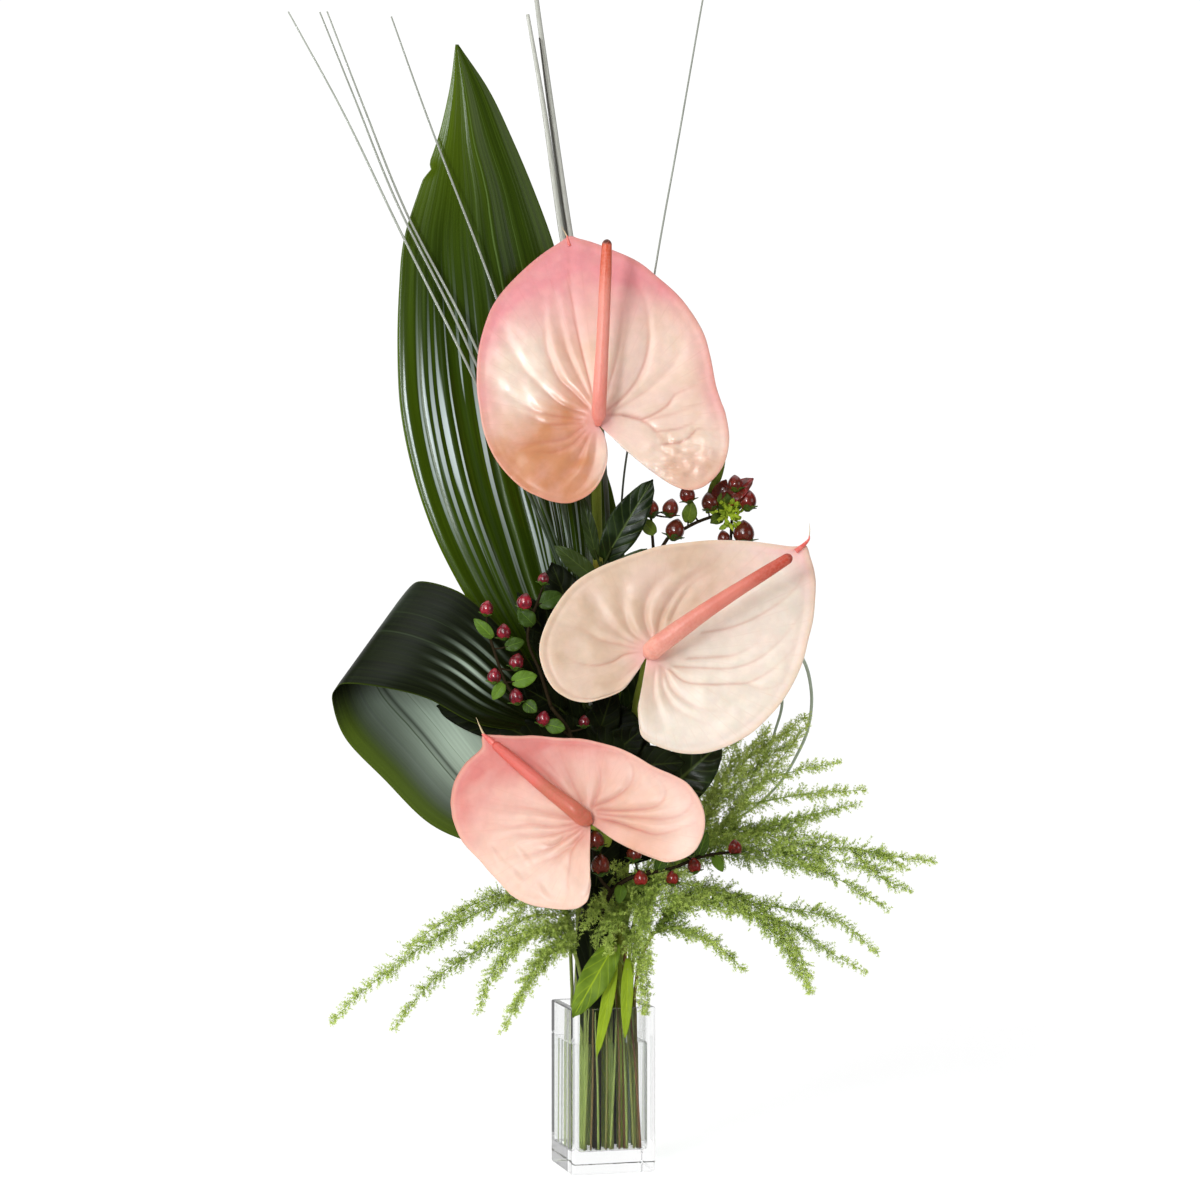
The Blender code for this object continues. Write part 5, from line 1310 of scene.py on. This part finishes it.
# Plumes: path, reach of the twigs and for some how young they are
FERNS = {
    "left": {
        "place": (-2, -1),
        "route": [(-16, -16, 140), (-20, -21, 158)],
        "youth": 0.3,
        "plumes": [
            ([(-16, -16, 140), (-26, -23, 168), (-42, -29, 176), (-63, -34, 175), (-89, -41, 164),
              (-120, -46, 144), (-150, -50, 122), (-172, -53, 101)],
             9.5),
            ([(-18, -19, 150), (-41, -20, 155), (-73, -20, 146), (-105, -20, 127), (-122, -21, 109),
              (-135, -21, 92)],
             8.5),
            ([(-16, -20, 150), (-24, -32, 172), (-36, -40, 178), (-50, -44, 174), (-66, -46, 160)], 9.0,
             0.3),
            ([(-18, -24, 150), (-28, -38, 164), (-42, -44, 168), (-60, -44, 160), (-82, -44, 148)], 8.0,
             0.3),
            ([(-42, -29, 176), (-70, -32, 178), (-96, -38, 166), (-124, -42, 148)], 7.0, 0.4),
        ],
    },
    "left_front": {
        "place": (-2, -2),
        "route": [(-16, -27, 134), (-20, -36, 148)],
        "youth": 0.35,
        "plumes": [
            ([(-18, -32, 144), (-37, -47, 157), (-52, -58, 153), (-63, -62, 144), (-73, -64, 127),
              (-79, -65, 106)],
             7.5),
            ([(-20, -36, 148), (-35, -60, 143), (-49, -73, 124), (-58, -77, 108), (-64, -79, 97)], 7.5),
            ([(-18, -30, 146), (-28, -44, 160), (-42, -56, 160), (-56, -62, 148), (-68, -64, 130)], 9.0,
             0.35),
            ([(-16, -30, 140), (-24, -44, 152), (-36, -58, 146), (-48, -68, 128), (-56, -72, 112)], 9.0,
             0.35),
            ([(-14, -30, 144), (-22, -44, 150), (-30, -54, 146), (-38, -60, 134)], 7.0, 0.2),
        ],
    },
    "center": {
        "place": (1, -2),
        "route": [(14, -18, 135), (16, -26, 158)],
        "youth": 0.2,
        "wood": 1.0,
        "plumes": [
            ([(14, -20, 145), (20, -34, 158), (26, -41, 144), (28, -43, 122), (28, -44, 104)], 5.5),
            ([(16, -26, 158), (14, -33, 165), (5, -41, 166), (-2, -42, 158), (-3, -42, 144)], 6.0),
            ([(10, -26, 160), (0, -42, 174), (-8, -50, 168), (-13, -52, 158)], 8.5, 0.1),
            ([(10, -28, 160), (6, -48, 170), (4, -56, 158), (3, -57, 144)], 9.0, 0.15),
            ([(12, -26, 165), (18, -44, 176), (24, -52, 168), (28, -54, 150), (29, -54, 134)], 9.5, 0.2),
            ([(10, -26, 170), (20, -40, 190), (34, -46, 196), (50, -48, 194)], 9.0, 0.1),
            ([(10, -28, 168), (22, -42, 184), (36, -48, 184), (52, -50, 176)], 9.0, 0.15),
            ([(8, -28, 150), (16, -44, 152), (22, -50, 138), (24, -51, 120), (25, -51, 106)], 6.5, 0.35),
            ([(8, -28, 150), (20, -42, 154), (24, -47, 140), (25, -48, 122)], 6.0, 0.6),
            ([(10, -26, 175), (12, -40, 196), (8, -46, 200), (2, -48, 196)], 7.0, 0.05),
        ],
    },
    "right_main": {
        "place": (2, -1),
        "route": [(22, -5, 150), (38, -6, 190)],
        "youth": 0.25,
        "plumes": [
            ([(30, -6, 172), (56, -6, 205), (89, -8, 219), (127, -12, 210), (166, -16, 207),
              (191, -18, 202), (214, -20, 200)],
             9.0),
            ([(158, -15, 207), (178, -20, 190), (198, -22, 181)], 7.0),
            ([(105, -9, 216), (125, -14, 200), (152, -20, 188), (183, -26, 169)], 7.5),
            ([(98, -9, 218), (125, -4, 226), (147, 0, 231), (168, 4, 236)], 7.0),
            ([(44, -6, 192), (70, -12, 210), (100, -16, 206), (130, -20, 204), (160, -22, 198),
              (186, -24, 194)],
             10.0, 0.2),
            ([(38, -6, 188), (62, -14, 202), (90, -18, 204), (118, -22, 198), (142, -24, 196)], 11.0,
             0.1),
            ([(56, -6, 205), (80, -2, 218), (106, -6, 220), (130, -10, 216), (156, -12, 212)], 9.0, 0.2),
            ([(166, -16, 207), (182, -20, 202), (196, -22, 194)], 6.0, 0.4),
            ([(38, -6, 188), (50, -16, 206), (70, -20, 214), (96, -22, 212), (124, -24, 208)], 11.0,
             0.15),
        ],
    },
    "right_low": {
        "place": (2, -2),
        "route": [(24, -14, 135), (32, -19, 154)],
        "youth": 0.25,
        "wood": 0.6,
        "plumes": [
            ([(28, -17, 146), (52, -28, 178), (76, -32, 182), (106, -40, 166), (119, -43, 145),
              (132, -46, 118)],
             8.5),
            ([(76, -32, 182), (98, -34, 174), (122, -33, 170), (150, -31, 163), (176, -29, 142)], 7.5),
            ([(106, -36, 168), (126, -37, 156), (145, -38, 143), (167, -40, 131)], 6.5),
            ([(32, -19, 154), (46, -22, 158), (62, -24, 152), (78, -26, 142), (91, -27, 130)], 6.5),
            ([(30, -18, 150), (50, -32, 174), (74, -38, 180), (98, -44, 166), (114, -48, 148),
              (124, -50, 130)],
             10.0, 0.15),
            ([(30, -20, 150), (46, -30, 168), (64, -36, 176), (86, -40, 172), (104, -44, 160)], 10.0,
             0.1),
            ([(100, -40, 168), (118, -46, 154), (128, -48, 136), (132, -50, 120)], 7.0, 0.5),
            ([(32, -22, 152), (46, -30, 158), (62, -34, 153), (78, -36, 143)], 7.0, 0.5),
            ([(30, -20, 150), (26, -36, 176), (38, -44, 189), (58, -46, 186), (78, -46, 178),
              (94, -46, 168)],
             11.0, 0.15),
            ([(30, -20, 150), (24, -38, 168), (38, -46, 178), (60, -48, 176), (82, -46, 168)], 10.0,
             0.2),
        ],
    },
    "right_up": {
        "place": (2, 0),
        "route": [(21, 7, 160), (42, 10, 190), (63, 11, 206)],
        "youth": 0.8,
        "plumes": [
            ([(52, 11, 198), (72, 11, 216), (90, 12, 237), (103, 14, 263), (118, 15, 280),
              (134, 16, 293)],
             8.5),
            ([(90, 12, 237), (106, 11, 250), (129, 8, 257), (154, 4, 262)], 7.0),
            ([(86, 12, 232), (106, 17, 236), (129, 20, 240), (152, 22, 242), (173, 23, 243)], 7.0),
            ([(63, 11, 206), (64, 20, 240), (77, 26, 266), (94, 30, 281)], 6.5),
            ([(52, 11, 198), (64, 6, 222), (80, 4, 246), (96, 2, 268), (108, 2, 286)], 10.0, 0.9),
            ([(64, 12, 206), (84, 6, 226), (104, 4, 250), (120, 2, 270), (134, 4, 288)], 9.0, 0.9),
            ([(58, 12, 204), (66, 8, 232), (80, 8, 256), (88, 8, 276)], 9.5, 0.85),
            ([(96, 8, 262), (110, 4, 276), (124, 2, 284)], 8.0, 0.75),
            ([(63, 11, 206), (90, 8, 214), (116, 6, 222), (140, 4, 226)], 8.0, 0.45),
            ([(60, 11, 204), (72, 12, 230), (92, 12, 252), (112, 12, 268), (126, 12, 276)], 9.0, 0.9),
            ([(60, 11, 204), (66, 14, 226), (74, 16, 246), (90, 16, 264), (104, 14, 280)], 9.0, 0.75),
        ],
    },
    "back_left": {
        "place": (-2, 2),
        "route": [(-23, 22, 155), (-32, 38, 182)],
        "youth": 0.2,
        "plumes": [
            ([(-28, 32, 172), (-40, 48, 194), (-52, 66, 208), (-62, 86, 214)], 8.0),
            ([(-26, 28, 165), (-34, 48, 176), (-42, 70, 180), (-48, 92, 176)], 8.0),
        ],
    },
    "back_right": {
        "place": (2, 2),
        "route": [(16, 34, 155), (26, 48, 184)],
        "youth": 0.2,
        "plumes": [
            ([(22, 42, 172), (36, 60, 200), (48, 80, 216), (58, 100, 222)], 8.0),
            ([(19, 38, 164), (32, 58, 178), (46, 80, 184), (60, 100, 180)], 8.0),
        ],
    },
}
# Place at foot and neck along the vase, radius and darkness
THIN_STALKS = [(-19, -16, 0.8, 0.1), (-14.5, -13, 0.7, 0.8), (-9.5, -11.5, 0.8, 0.0),
               (-4.5, -4, 0.7, 0.5),
               (-1.5, 2.5, 0.8, 0.05), (4.5, 3.5, 0.7, 0.9), (9.5, 6.5, 0.85, 0.0), (14, 9, 0.8, 0.3),
               (18.5, 12, 0.8, 1.0)]
BRANCHES_PER_MM = 2.5
NEEDLES_PER_TUFT = 7
NEEDLE_MAP = np.array([[0, 0], [1, 0], [0.5, 1]], float)


def spikes(shape, roots, directions, lengths, width, masks):
    """Many thin three-sided twigs."""
    helper = np.where(np.abs(directions[:, 2:3]) > 0.8, (1.0, 0, 0), (0, 0, 1.0))
    side = unit(np.cross(directions, helper))
    up = np.cross(directions, side)
    corners = []
    for k in range(3):
        angle = 2 * math.pi * k / 3
        corners.append(roots + (side * math.cos(angle) + up * math.sin(angle)) * width)
    corners.append(roots + directions * lengths[:, None])
    first = np.arange(len(roots))[:, None, None] * 4
    faces = (first + np.array([[0, 1, 3], [1, 2, 3], [2, 0, 3]])).reshape(-1, 3)
    maps = np.broadcast_to(NEEDLE_MAP, (len(faces), 3, 2))
    shape.add(np.stack(corners, 1), faces, maps, np.repeat(masks, 4, axis=0))


def slivers(shape, roots, directions, lengths, widths, masks, rng):
    """Very many thin flat needles."""
    side = unit(np.cross(directions, rng.normal(size=directions.shape))) * widths[:, None]
    points = np.stack([roots + side, roots - side, roots + directions * lengths[:, None]], 1)
    faces = np.arange(3 * len(roots)).reshape(-1, 3)
    shape.add(points, faces, np.broadcast_to(NEEDLE_MAP, (len(faces), 3, 2)), np.repeat(masks, 3, axis=0))


def add_plume(shape, knots, reach, rng, youth):
    """Feathery branch: a thin axis, slanting twigs and tufts of needles on them."""
    path = smooth_path(knots, 60)
    run = np.linalg.norm(np.diff(path, axis=0), axis=1).sum()
    shape.tube(path, [0.6, 0.45, 0.3, 0.12], 5, (0.2, 0.3, 0.5), 0)
    along, side, up = frames(path)
    count = int(run * BRANCHES_PER_MM)
    share = np.sort(rng.uniform(0.05, 1.0, count))
    place = share * (len(path) - 1)
    low = np.minimum(place.astype(int), len(path) - 2)
    part = (place - low)[:, None]
    base = path[low] * (1 - part) + path[low + 1] * part
    angle = rng.uniform(0, 2 * math.pi, count)
    out = side[low] * np.cos(angle)[:, None] + up[low] * np.sin(angle)[:, None]
    heading = unit(out + along[low] * rng.uniform(0.2, 1.3, count)[:, None])
    # Uneven, clumpy outline that tapers to the tip
    clump = np.sin(share * run / 3.1 + rng.uniform(0, 6)) * np.sin(angle + share * run / 5.3)
    full = step(0.0, 0.18, share) * (1 - 0.72 * share ** 2.5) * (0.85 + 0.3 * clump)
    length = np.maximum(reach * 1.55 * full * rng.uniform(0.35, 1.1, count), 1.2)
    spikes(shape, base, heading, length, 0.13,
           masks_of(0.2 + 0.3 * share, rng.uniform(0, 0.5, count), 0.4))
    tufts = np.maximum((length / 1.2).astype(int), 2)
    owner = np.repeat(np.arange(count), tufts)
    order = np.concatenate([np.arange(1, n + 1) / n for n in tufts])
    order = np.clip(order + rng.uniform(-0.08, 0.08, len(order)), 0.05, 1.0)
    root = base[owner] + heading[owner] * (length[owner] * order)[:, None]
    root = root + rng.normal(size=root.shape) * 0.25
    root, owner, order = [np.repeat(item, NEEDLES_PER_TUFT, axis=0) for item in (root, owner, order)]
    total = len(root)
    direction = unit(unit(rng.normal(size=(total, 3))) + heading[owner] * 0.8)
    size = rng.uniform(1.2, 3.0, total) * (1 - 0.25 * order)
    young = youth + 0.55 * share[owner] ** 2 + 0.35 * order - 0.25 + rng.uniform(-0.15, 0.15, total)
    inner = 1.0 - order - 0.3 * share[owner]
    width = rng.uniform(0.13, 0.24, total)
    masks = masks_of(np.clip(young, 0, 1), rng.uniform(0, 1, total), np.clip(inner, 0, 1))
    slivers(shape, root, direction, size, width, masks, rng)


def add_thin_stalks(shape):
    """Thin stalks just behind the front glass."""
    for foot, neck, radius, darkness in THIN_STALKS:
        line = smooth_path([in_vase(foot, -22.0, 15), in_vase((foot + neck) / 2 + 0.4, -22.0, 60),
                            in_vase(neck, -21.8, 100), in_vase(0.8 * neck, -20.0, 122)], 20)
        shape.tube(line, [radius, radius, 0.8 * radius, 0.3], 7, (darkness, 0, 0), 1)


def build_fern(name, fern, looks, rng):
    shape = Shape()
    path = stem_path(fern["place"], fern["route"], 40)
    shape.tube(path, [1.2, 1.2], 9, (fern.get("wood", 0.0), 0, 0), 1)
    if name == "center":
        add_thin_stalks(shape)
    lines = [path]
    for knots, reach, *youth in fern["plumes"]:
        knots = [nearest(knots[0], lines)] + knots[1:]
        add_plume(shape, knots, reach, rng, youth[0] if youth else fern["youth"])
        lines.append(smooth_path(knots, 60))
    shape.make(f"plumes_{name}", looks, [f"fern_{name}"])


# Grass

GRASS = {
    "left": {
        "place": (-2, 1),
        "radius": 1.3,
        "end_radius": 1.2,
        "blade": 0.95,
        "route": [(-14, 4.5, 190), (-11, 4.5, 235), (-8.5, 5, 290), (-7, 6, 335)],
        "blades": [
            [(-7, 6, 333), (-41, 10, 420), (-87, 12, 518), (-131, 14, 606), (-169, 14, 685),
             (-206, 14, 753)],
            [(-7, 6, 333), (-44, 8, 433), (-93, 9, 544), (-134, 10, 626), (-162, 10, 695),
             (-185, 10, 752)],
            [(-7, 6, 333), (-38, 11, 427), (-84, 15, 535), (-128, 17, 620), (-156, 18, 689),
             (-181, 18, 754)],
            [(-7, 6, 333), (-28, 12, 433), (-67, 17, 558), (-112, 19, 676), (-139, 20, 751)],
        ],
    },
    "center": {
        "place": (0, 2),
        "radius": 1.6,
        "end_radius": 1.7,
        "blade": 2.6,
        "route": [(2, 23, 170), (5, 30, 250), (3.5, 35, 330), (4, 37, 400), (0, 38, 470)],
        "blades": [
            [(0, 38, 468), (-10, 38, 540), (-22, 38, 610), (-34, 39, 693), (-44, 40, 766),
             (-47, 40, 795)],
            [(0, 38, 466), (-14, 40, 540), (-27, 41, 610), (-39, 42, 693), (-50, 44, 757)],
            [(0, 38, 464), (-11, 36, 540), (-24, 36, 609), (-35, 36, 686), (-42, 36, 740)],
        ],
    },
    "right": {
        "place": (1, 2),
        "radius": 0.9,
        "end_radius": 0.6,
        "blade": 0.9,
        "route": [(9, 27, 200), (10, 34, 330), (13, 36, 441), (25, 36, 513), (34, 35, 583),
                  (51, 34, 679), (66, 34, 765), (70, 34, 784)],
        "blades": [],
    },
    "loops": {
        "place": (2, 1),
        "radius": 0.9,
        "end_radius": 1.0,
        "blade": 1.3,
        "route": [(16, 22, 165), (34, 34, 235)],
        "blades": [
            [(33, 33.5, 232), (64, 37, 302), (91, 39, 331), (111, 40, 341), (131, 40, 331),
             (138, 38, 308), (136, 36, 284), (128, 34, 265), (116, 33, 246), (96, 34, 228),
             (72, 36, 216)],
            [(33, 33.5, 230), (58, 44, 288), (88, 47, 323), (108, 47, 325), (119, 45, 303),
             (114, 43, 280), (107, 41, 262), (97, 40, 249)],
        ],
    },
}


def tones(path, shade):
    """Upright blades turn dark green low down, painted shade where they stand among the leaves."""
    green = step(560, 400, path[:, 2]) * (path[:, 2].max() > 450)
    return masks_of(shade, green, 0)


def add_blade(shape, path, half, shade):
    """Flat folded blade of grass along a path."""
    along = unit(np.gradient(path, axis=0))
    facing = np.broadcast_to((0.3, -1.0, 0.0), path.shape)
    normal = unit(facing - along * np.sum(facing * along, axis=1, keepdims=True))
    u = np.linspace(-1, 1, 7)[None, :]
    points = (path[:, None] + np.cross(along, normal)[:, None] * (half[:, None] * u)[..., None]
              - normal[:, None] * (0.35 * half[:, None] * (np.abs(u) - 0.5))[..., None])
    shape.sheet(points, 0.4, tones(path, shade)[:, None], edge=0.6)


def build_grass(name, look):
    grass = GRASS[name]
    shape = Shape()
    path = stem_path(grass["place"], grass["route"], 120)
    shape.tube(path, [grass["radius"], grass["end_radius"]], 9, tones(path, 0.3))
    for number, knots in enumerate(grass["blades"]):
        half = grass["blade"] * spread([1.0, 1.0, 0.9, 0.75, 0.5], np.linspace(0, 1, 70))
        shade = 0.25 if number % 2 else 0.0
        if name == "center":
            half = half * (1.0, 0.9, 0.45)[number]
            shade = (0.2, 0.0, 1.0)[number]
        add_blade(shape, smooth_path(knots, 70), half, shade)
    shape.make(f"blades_{name}", [look], [f"grass_{name}"])


# Vase and water

def rounded_square(half, corner, height, count=7):
    """Points round a square with rounded corners, turned with the vase."""
    points = []
    for quarter in range(4):
        for k in range(count):
            angle = math.pi / 2 * (quarter + k / (count - 1))
            x = (half - corner) * (1 if quarter in (0, 3) else -1) + corner * math.cos(angle)
            y = (half - corner) * (1 if quarter in (0, 1) else -1) + corner * math.sin(angle)
            points.append(in_vase(x, y, height))
    return np.array(points)


def build_square(profile, look, name, node):
    """Closed body from rings of half width, height and corner radius."""
    rings = np.array([rounded_square(half, corner, height) for half, height, corner in profile])
    shape = Shape()
    shape.rings(rings, rings[[0, -1]].mean(1))
    item = shape.make(name, [look], [node])
    # The broad sides stay flat while the small roundings are smooth
    item.modifiers.new("weighted", "WEIGHTED_NORMAL").keep_sharp = True


def build_vase(glass, water):
    half = VASE_WIDTH / 2
    inner = half - VASE_WALL
    top = VASE_HEIGHT
    build_square([
        (half - 3.0, 0.0, 1.6), (half - 0.9, 0.0, 1.8), (half - 0.35, 0.25, 2.2), (half, 1.0, 2.4),
        (half, top - 1.0, 2.4), (half - 0.35, top - 0.25, 2.2), (half - 1.0, top, 1.8),
        (inner + 1.0, top, 1.5), (inner + 0.3, top - 0.25, 1.4), (inner, top - 1.0, 1.3),
        (inner, VASE_FLOOR + 2.0, 1.3), (inner - 0.5, VASE_FLOOR + 0.6, 1.2),
        (inner - 1.8, VASE_FLOOR, 1.0)], glass, "glass_vase", "vase")
    full = inner + 0.04
    build_square([
        (full - 1.9, VASE_FLOOR - 0.04, 1.0), (full - 0.5, VASE_FLOOR + 0.56, 1.2),
        (full, VASE_FLOOR + 2.0, 1.3), (full, WATER_LEVEL - 0.5, 1.3),
        (full - 0.1, WATER_LEVEL + 0.3, 1.3), (full - 1.0, WATER_LEVEL - 0.2, 1.3),
        (full - 2.5, WATER_LEVEL - 0.3, 1.3)], water, "clear_water", "water")


# The arrangement

def build_flowers():
    # The line colours of the bracts are partly painted crease shade
    bracts = {
        # The top bract's warm colour is its peach darkened to serve as painted shade too
        "top": bract_look("waxy_pink", rgb(249, 220, 202), rgb(206, 140, 98), rgb(236, 150, 154),
                          rgb(186, 92, 70), rgb(226, 142, 122), 0.3, 0.3, 0.25),
        "mid": bract_look("waxy_cream", rgb(247, 229, 214), rgb(214, 182, 157), rgb(243, 184, 180),
                          rgb(196, 126, 104), rgb(238, 204, 176), 0.5, 0.42, 0.1),
        "low": bract_look("waxy_coral", rgb(240, 210, 194), rgb(216, 158, 130), rgb(208, 118, 110),
                          rgb(188, 90, 76), rgb(232, 178, 154), 0.4, 0.4, 0.12),
    }
    fingers = {
        "top": spadix_look("finger_salmon", rgb(232, 140, 126), rgb(236, 150, 134), rgb(214, 88, 50),
                           (0.05, 0.5), rgb(84, 36, 20)),
        "mid": spadix_look("finger_rose", rgb(236, 166, 148), rgb(222, 128, 110), rgb(190, 72, 50),
                           (0.1, 0.6), rgb(170, 60, 42)),
        "low": spadix_look("finger_tan", rgb(190, 102, 76), rgb(214, 104, 92), rgb(214, 96, 84),
                           (0.42, 0.56), rgb(214, 84, 72)),
    }
    stalk = stem_look("flower_stalk", rgb(104, 122, 32), rgb(146, 156, 66), rgb(146, 102, 30))
    point = cusp_look()
    for name, flower in FLOWERS.items():
        build_bract(name, flower, bracts[name], point)
        build_finger(name, flower, fingers[name])
        build_flower_stem(name, flower, stalk)


def build_leaves(green_stem, dark_stem):
    # The pale colours paint the highlight streaks on the tall and folded leaves, and the folded leaf's
    # paler underside
    green = broad_look("broad_green", rgb(36, 52, 2), rgb(54, 74, 6), rgb(84, 106, 10),
                       rgb(214, 228, 226), rgb(98, 122, 62), 0.15, 30.0, 0.28, (0.54, 0.59, 0.0, 1.0),
                       (0.5, 0.7, 0.0, 0.08))
    back = broad_look("broad_back", rgb(36, 52, 4), rgb(58, 78, 12), rgb(84, 106, 18),
                      rgb(120, 138, 110), rgb(74, 96, 40), 0.4, 12.0, 0.12, (0.5, 0.6, 0.0, 1.0),
                      (0.4, 0.6, 0.0, 0.0))
    dark = broad_look("broad_dark", rgb(14, 20, 3), rgb(24, 32, 7), rgb(70, 88, 8),
                      rgb(184, 202, 182), rgb(48, 60, 36), 0.2, 24.0, 0.12, (0.2, 0.8, 0.8, 1.0),
                      (0.75, 0.9, 0.25, 0.0))
    build_tall_leaf(green, green_stem)
    build_back_leaf(back, green_stem)
    build_folded_leaf(dark, green_stem)
    upper = leaf_look("leaf_upper", rgb(18, 32, 6), rgb(34, 52, 12), rgb(84, 102, 44), 0.3)
    # Near-black leaves of the centre sprig, painted shade for the dark heart of the bunch
    center = leaf_look("leaf_center_shade", rgb(12, 17, 4), rgb(22, 30, 7), rgb(46, 56, 18), 0.5, 7.0, 0.08)
    lime = leaf_look("leaf_lime", rgb(86, 112, 24), rgb(112, 138, 36), rgb(160, 184, 30), 0.42, 5.0, 0.15)
    build_sprig("upper", upper, dark_stem, [0.0, 0.25, 0.45, 0.2, 0.0, 0.0])
    build_sprig("center", center, dark_stem, [0.0])
    build_sprig("lime", lime, green_stem, [0.0, 0.6, 0.5])


def build_berries(rng):
    twig = stem_look("twig", rgb(34, 26, 16), rgb(50, 40, 22), rgb(24, 18, 12), 0.5)
    sepal = leaf_look("sepal", rgb(32, 52, 8), rgb(58, 86, 16), rgb(112, 150, 36), 0.4, 5.0)
    sepal_dark = leaf_look("sepal_dark", rgb(36, 54, 10), rgb(72, 96, 22), rgb(124, 146, 40), 0.42, 5.0)
    tuft = leaf_look("leaf_tuft", rgb(104, 132, 18), rgb(148, 176, 30), rgb(186, 206, 60), 0.35, 4.0)
    red = berry_look("berry_crimson", rgb(70, 14, 22), rgb(160, 36, 52), rgb(206, 96, 96))
    brown = berry_look("berry_brown", rgb(84, 34, 18), rgb(150, 34, 34), rgb(180, 112, 62))
    build_spray("left", [red, sepal, twig], rng)
    build_spray("right", [brown, sepal_dark, twig, tuft], rng)
    build_spray("low", [brown, sepal, twig], rng)


def build_all():
    build_flowers()
    green_stem = stem_look("green_stem", rgb(108, 124, 54), rgb(164, 176, 100), rgb(118, 84, 56))
    dark_stem = stem_look("dark_stem", rgb(30, 38, 10), rgb(50, 60, 20), rgb(30, 24, 12))
    build_leaves(green_stem, dark_stem)
    rng = np.random.default_rng(5)
    build_berries(rng)
    needles = needle_look("needles", rgb(84, 112, 18), rgb(152, 180, 64), rgb(214, 230, 122),
                          rgb(204, 212, 140))
    for name, fern in FERNS.items():
        build_fern(name, fern, [needles, green_stem], rng)
    steel = grass_look("grass_steel", rgb(190, 194, 182), rgb(150, 154, 142), rgb(92, 94, 84))
    silver = grass_look("grass_silver", rgb(224, 224, 214), rgb(196, 196, 184), rgb(70, 68, 60))
    sage = grass_look("grass_sage", rgb(196, 208, 188), rgb(158, 174, 148), rgb(104, 120, 94))
    for name, look in {"left": steel, "center": silver, "right": steel, "loops": sage}.items():
        build_grass(name, look)
    build_vase(clear_look("clear_glass", (0.985, 0.995, 0.99), 1.5, 14.0, 0.06),
               clear_look("still_water", (0.985, 1.0, 0.99), 1.33, 30.0, 0.1))


bpy.context.scene.view_settings.view_transform = "Standard"
add_camera()
add_world()
add_floor()
add_light("key", (-1.2, -1.7, 1.5), (0, 0, 0.35), (1.3, 1.3), 20, (1.0, 0.98, 0.95))
add_light("strip", (-0.85, -1.85, 0.72), (0, 0, 0.5), (0.28, 0.5), 15, (0.9, 0.96, 1.0))
add_light("fill", (1.7, -1.3, 0.8), (0, 0, 0.35), (1.2, 1.2), 6.5)
add_light("above", (0.0, 0.2, 2.4), (0, 0, 0), (2.4, 2.0), 13)
add_light("left", (-1.8, -0.3, 0.8), (0, 0, 0.45), (0.5, 1.6), 8, (0.92, 0.97, 1.0))
build_all()
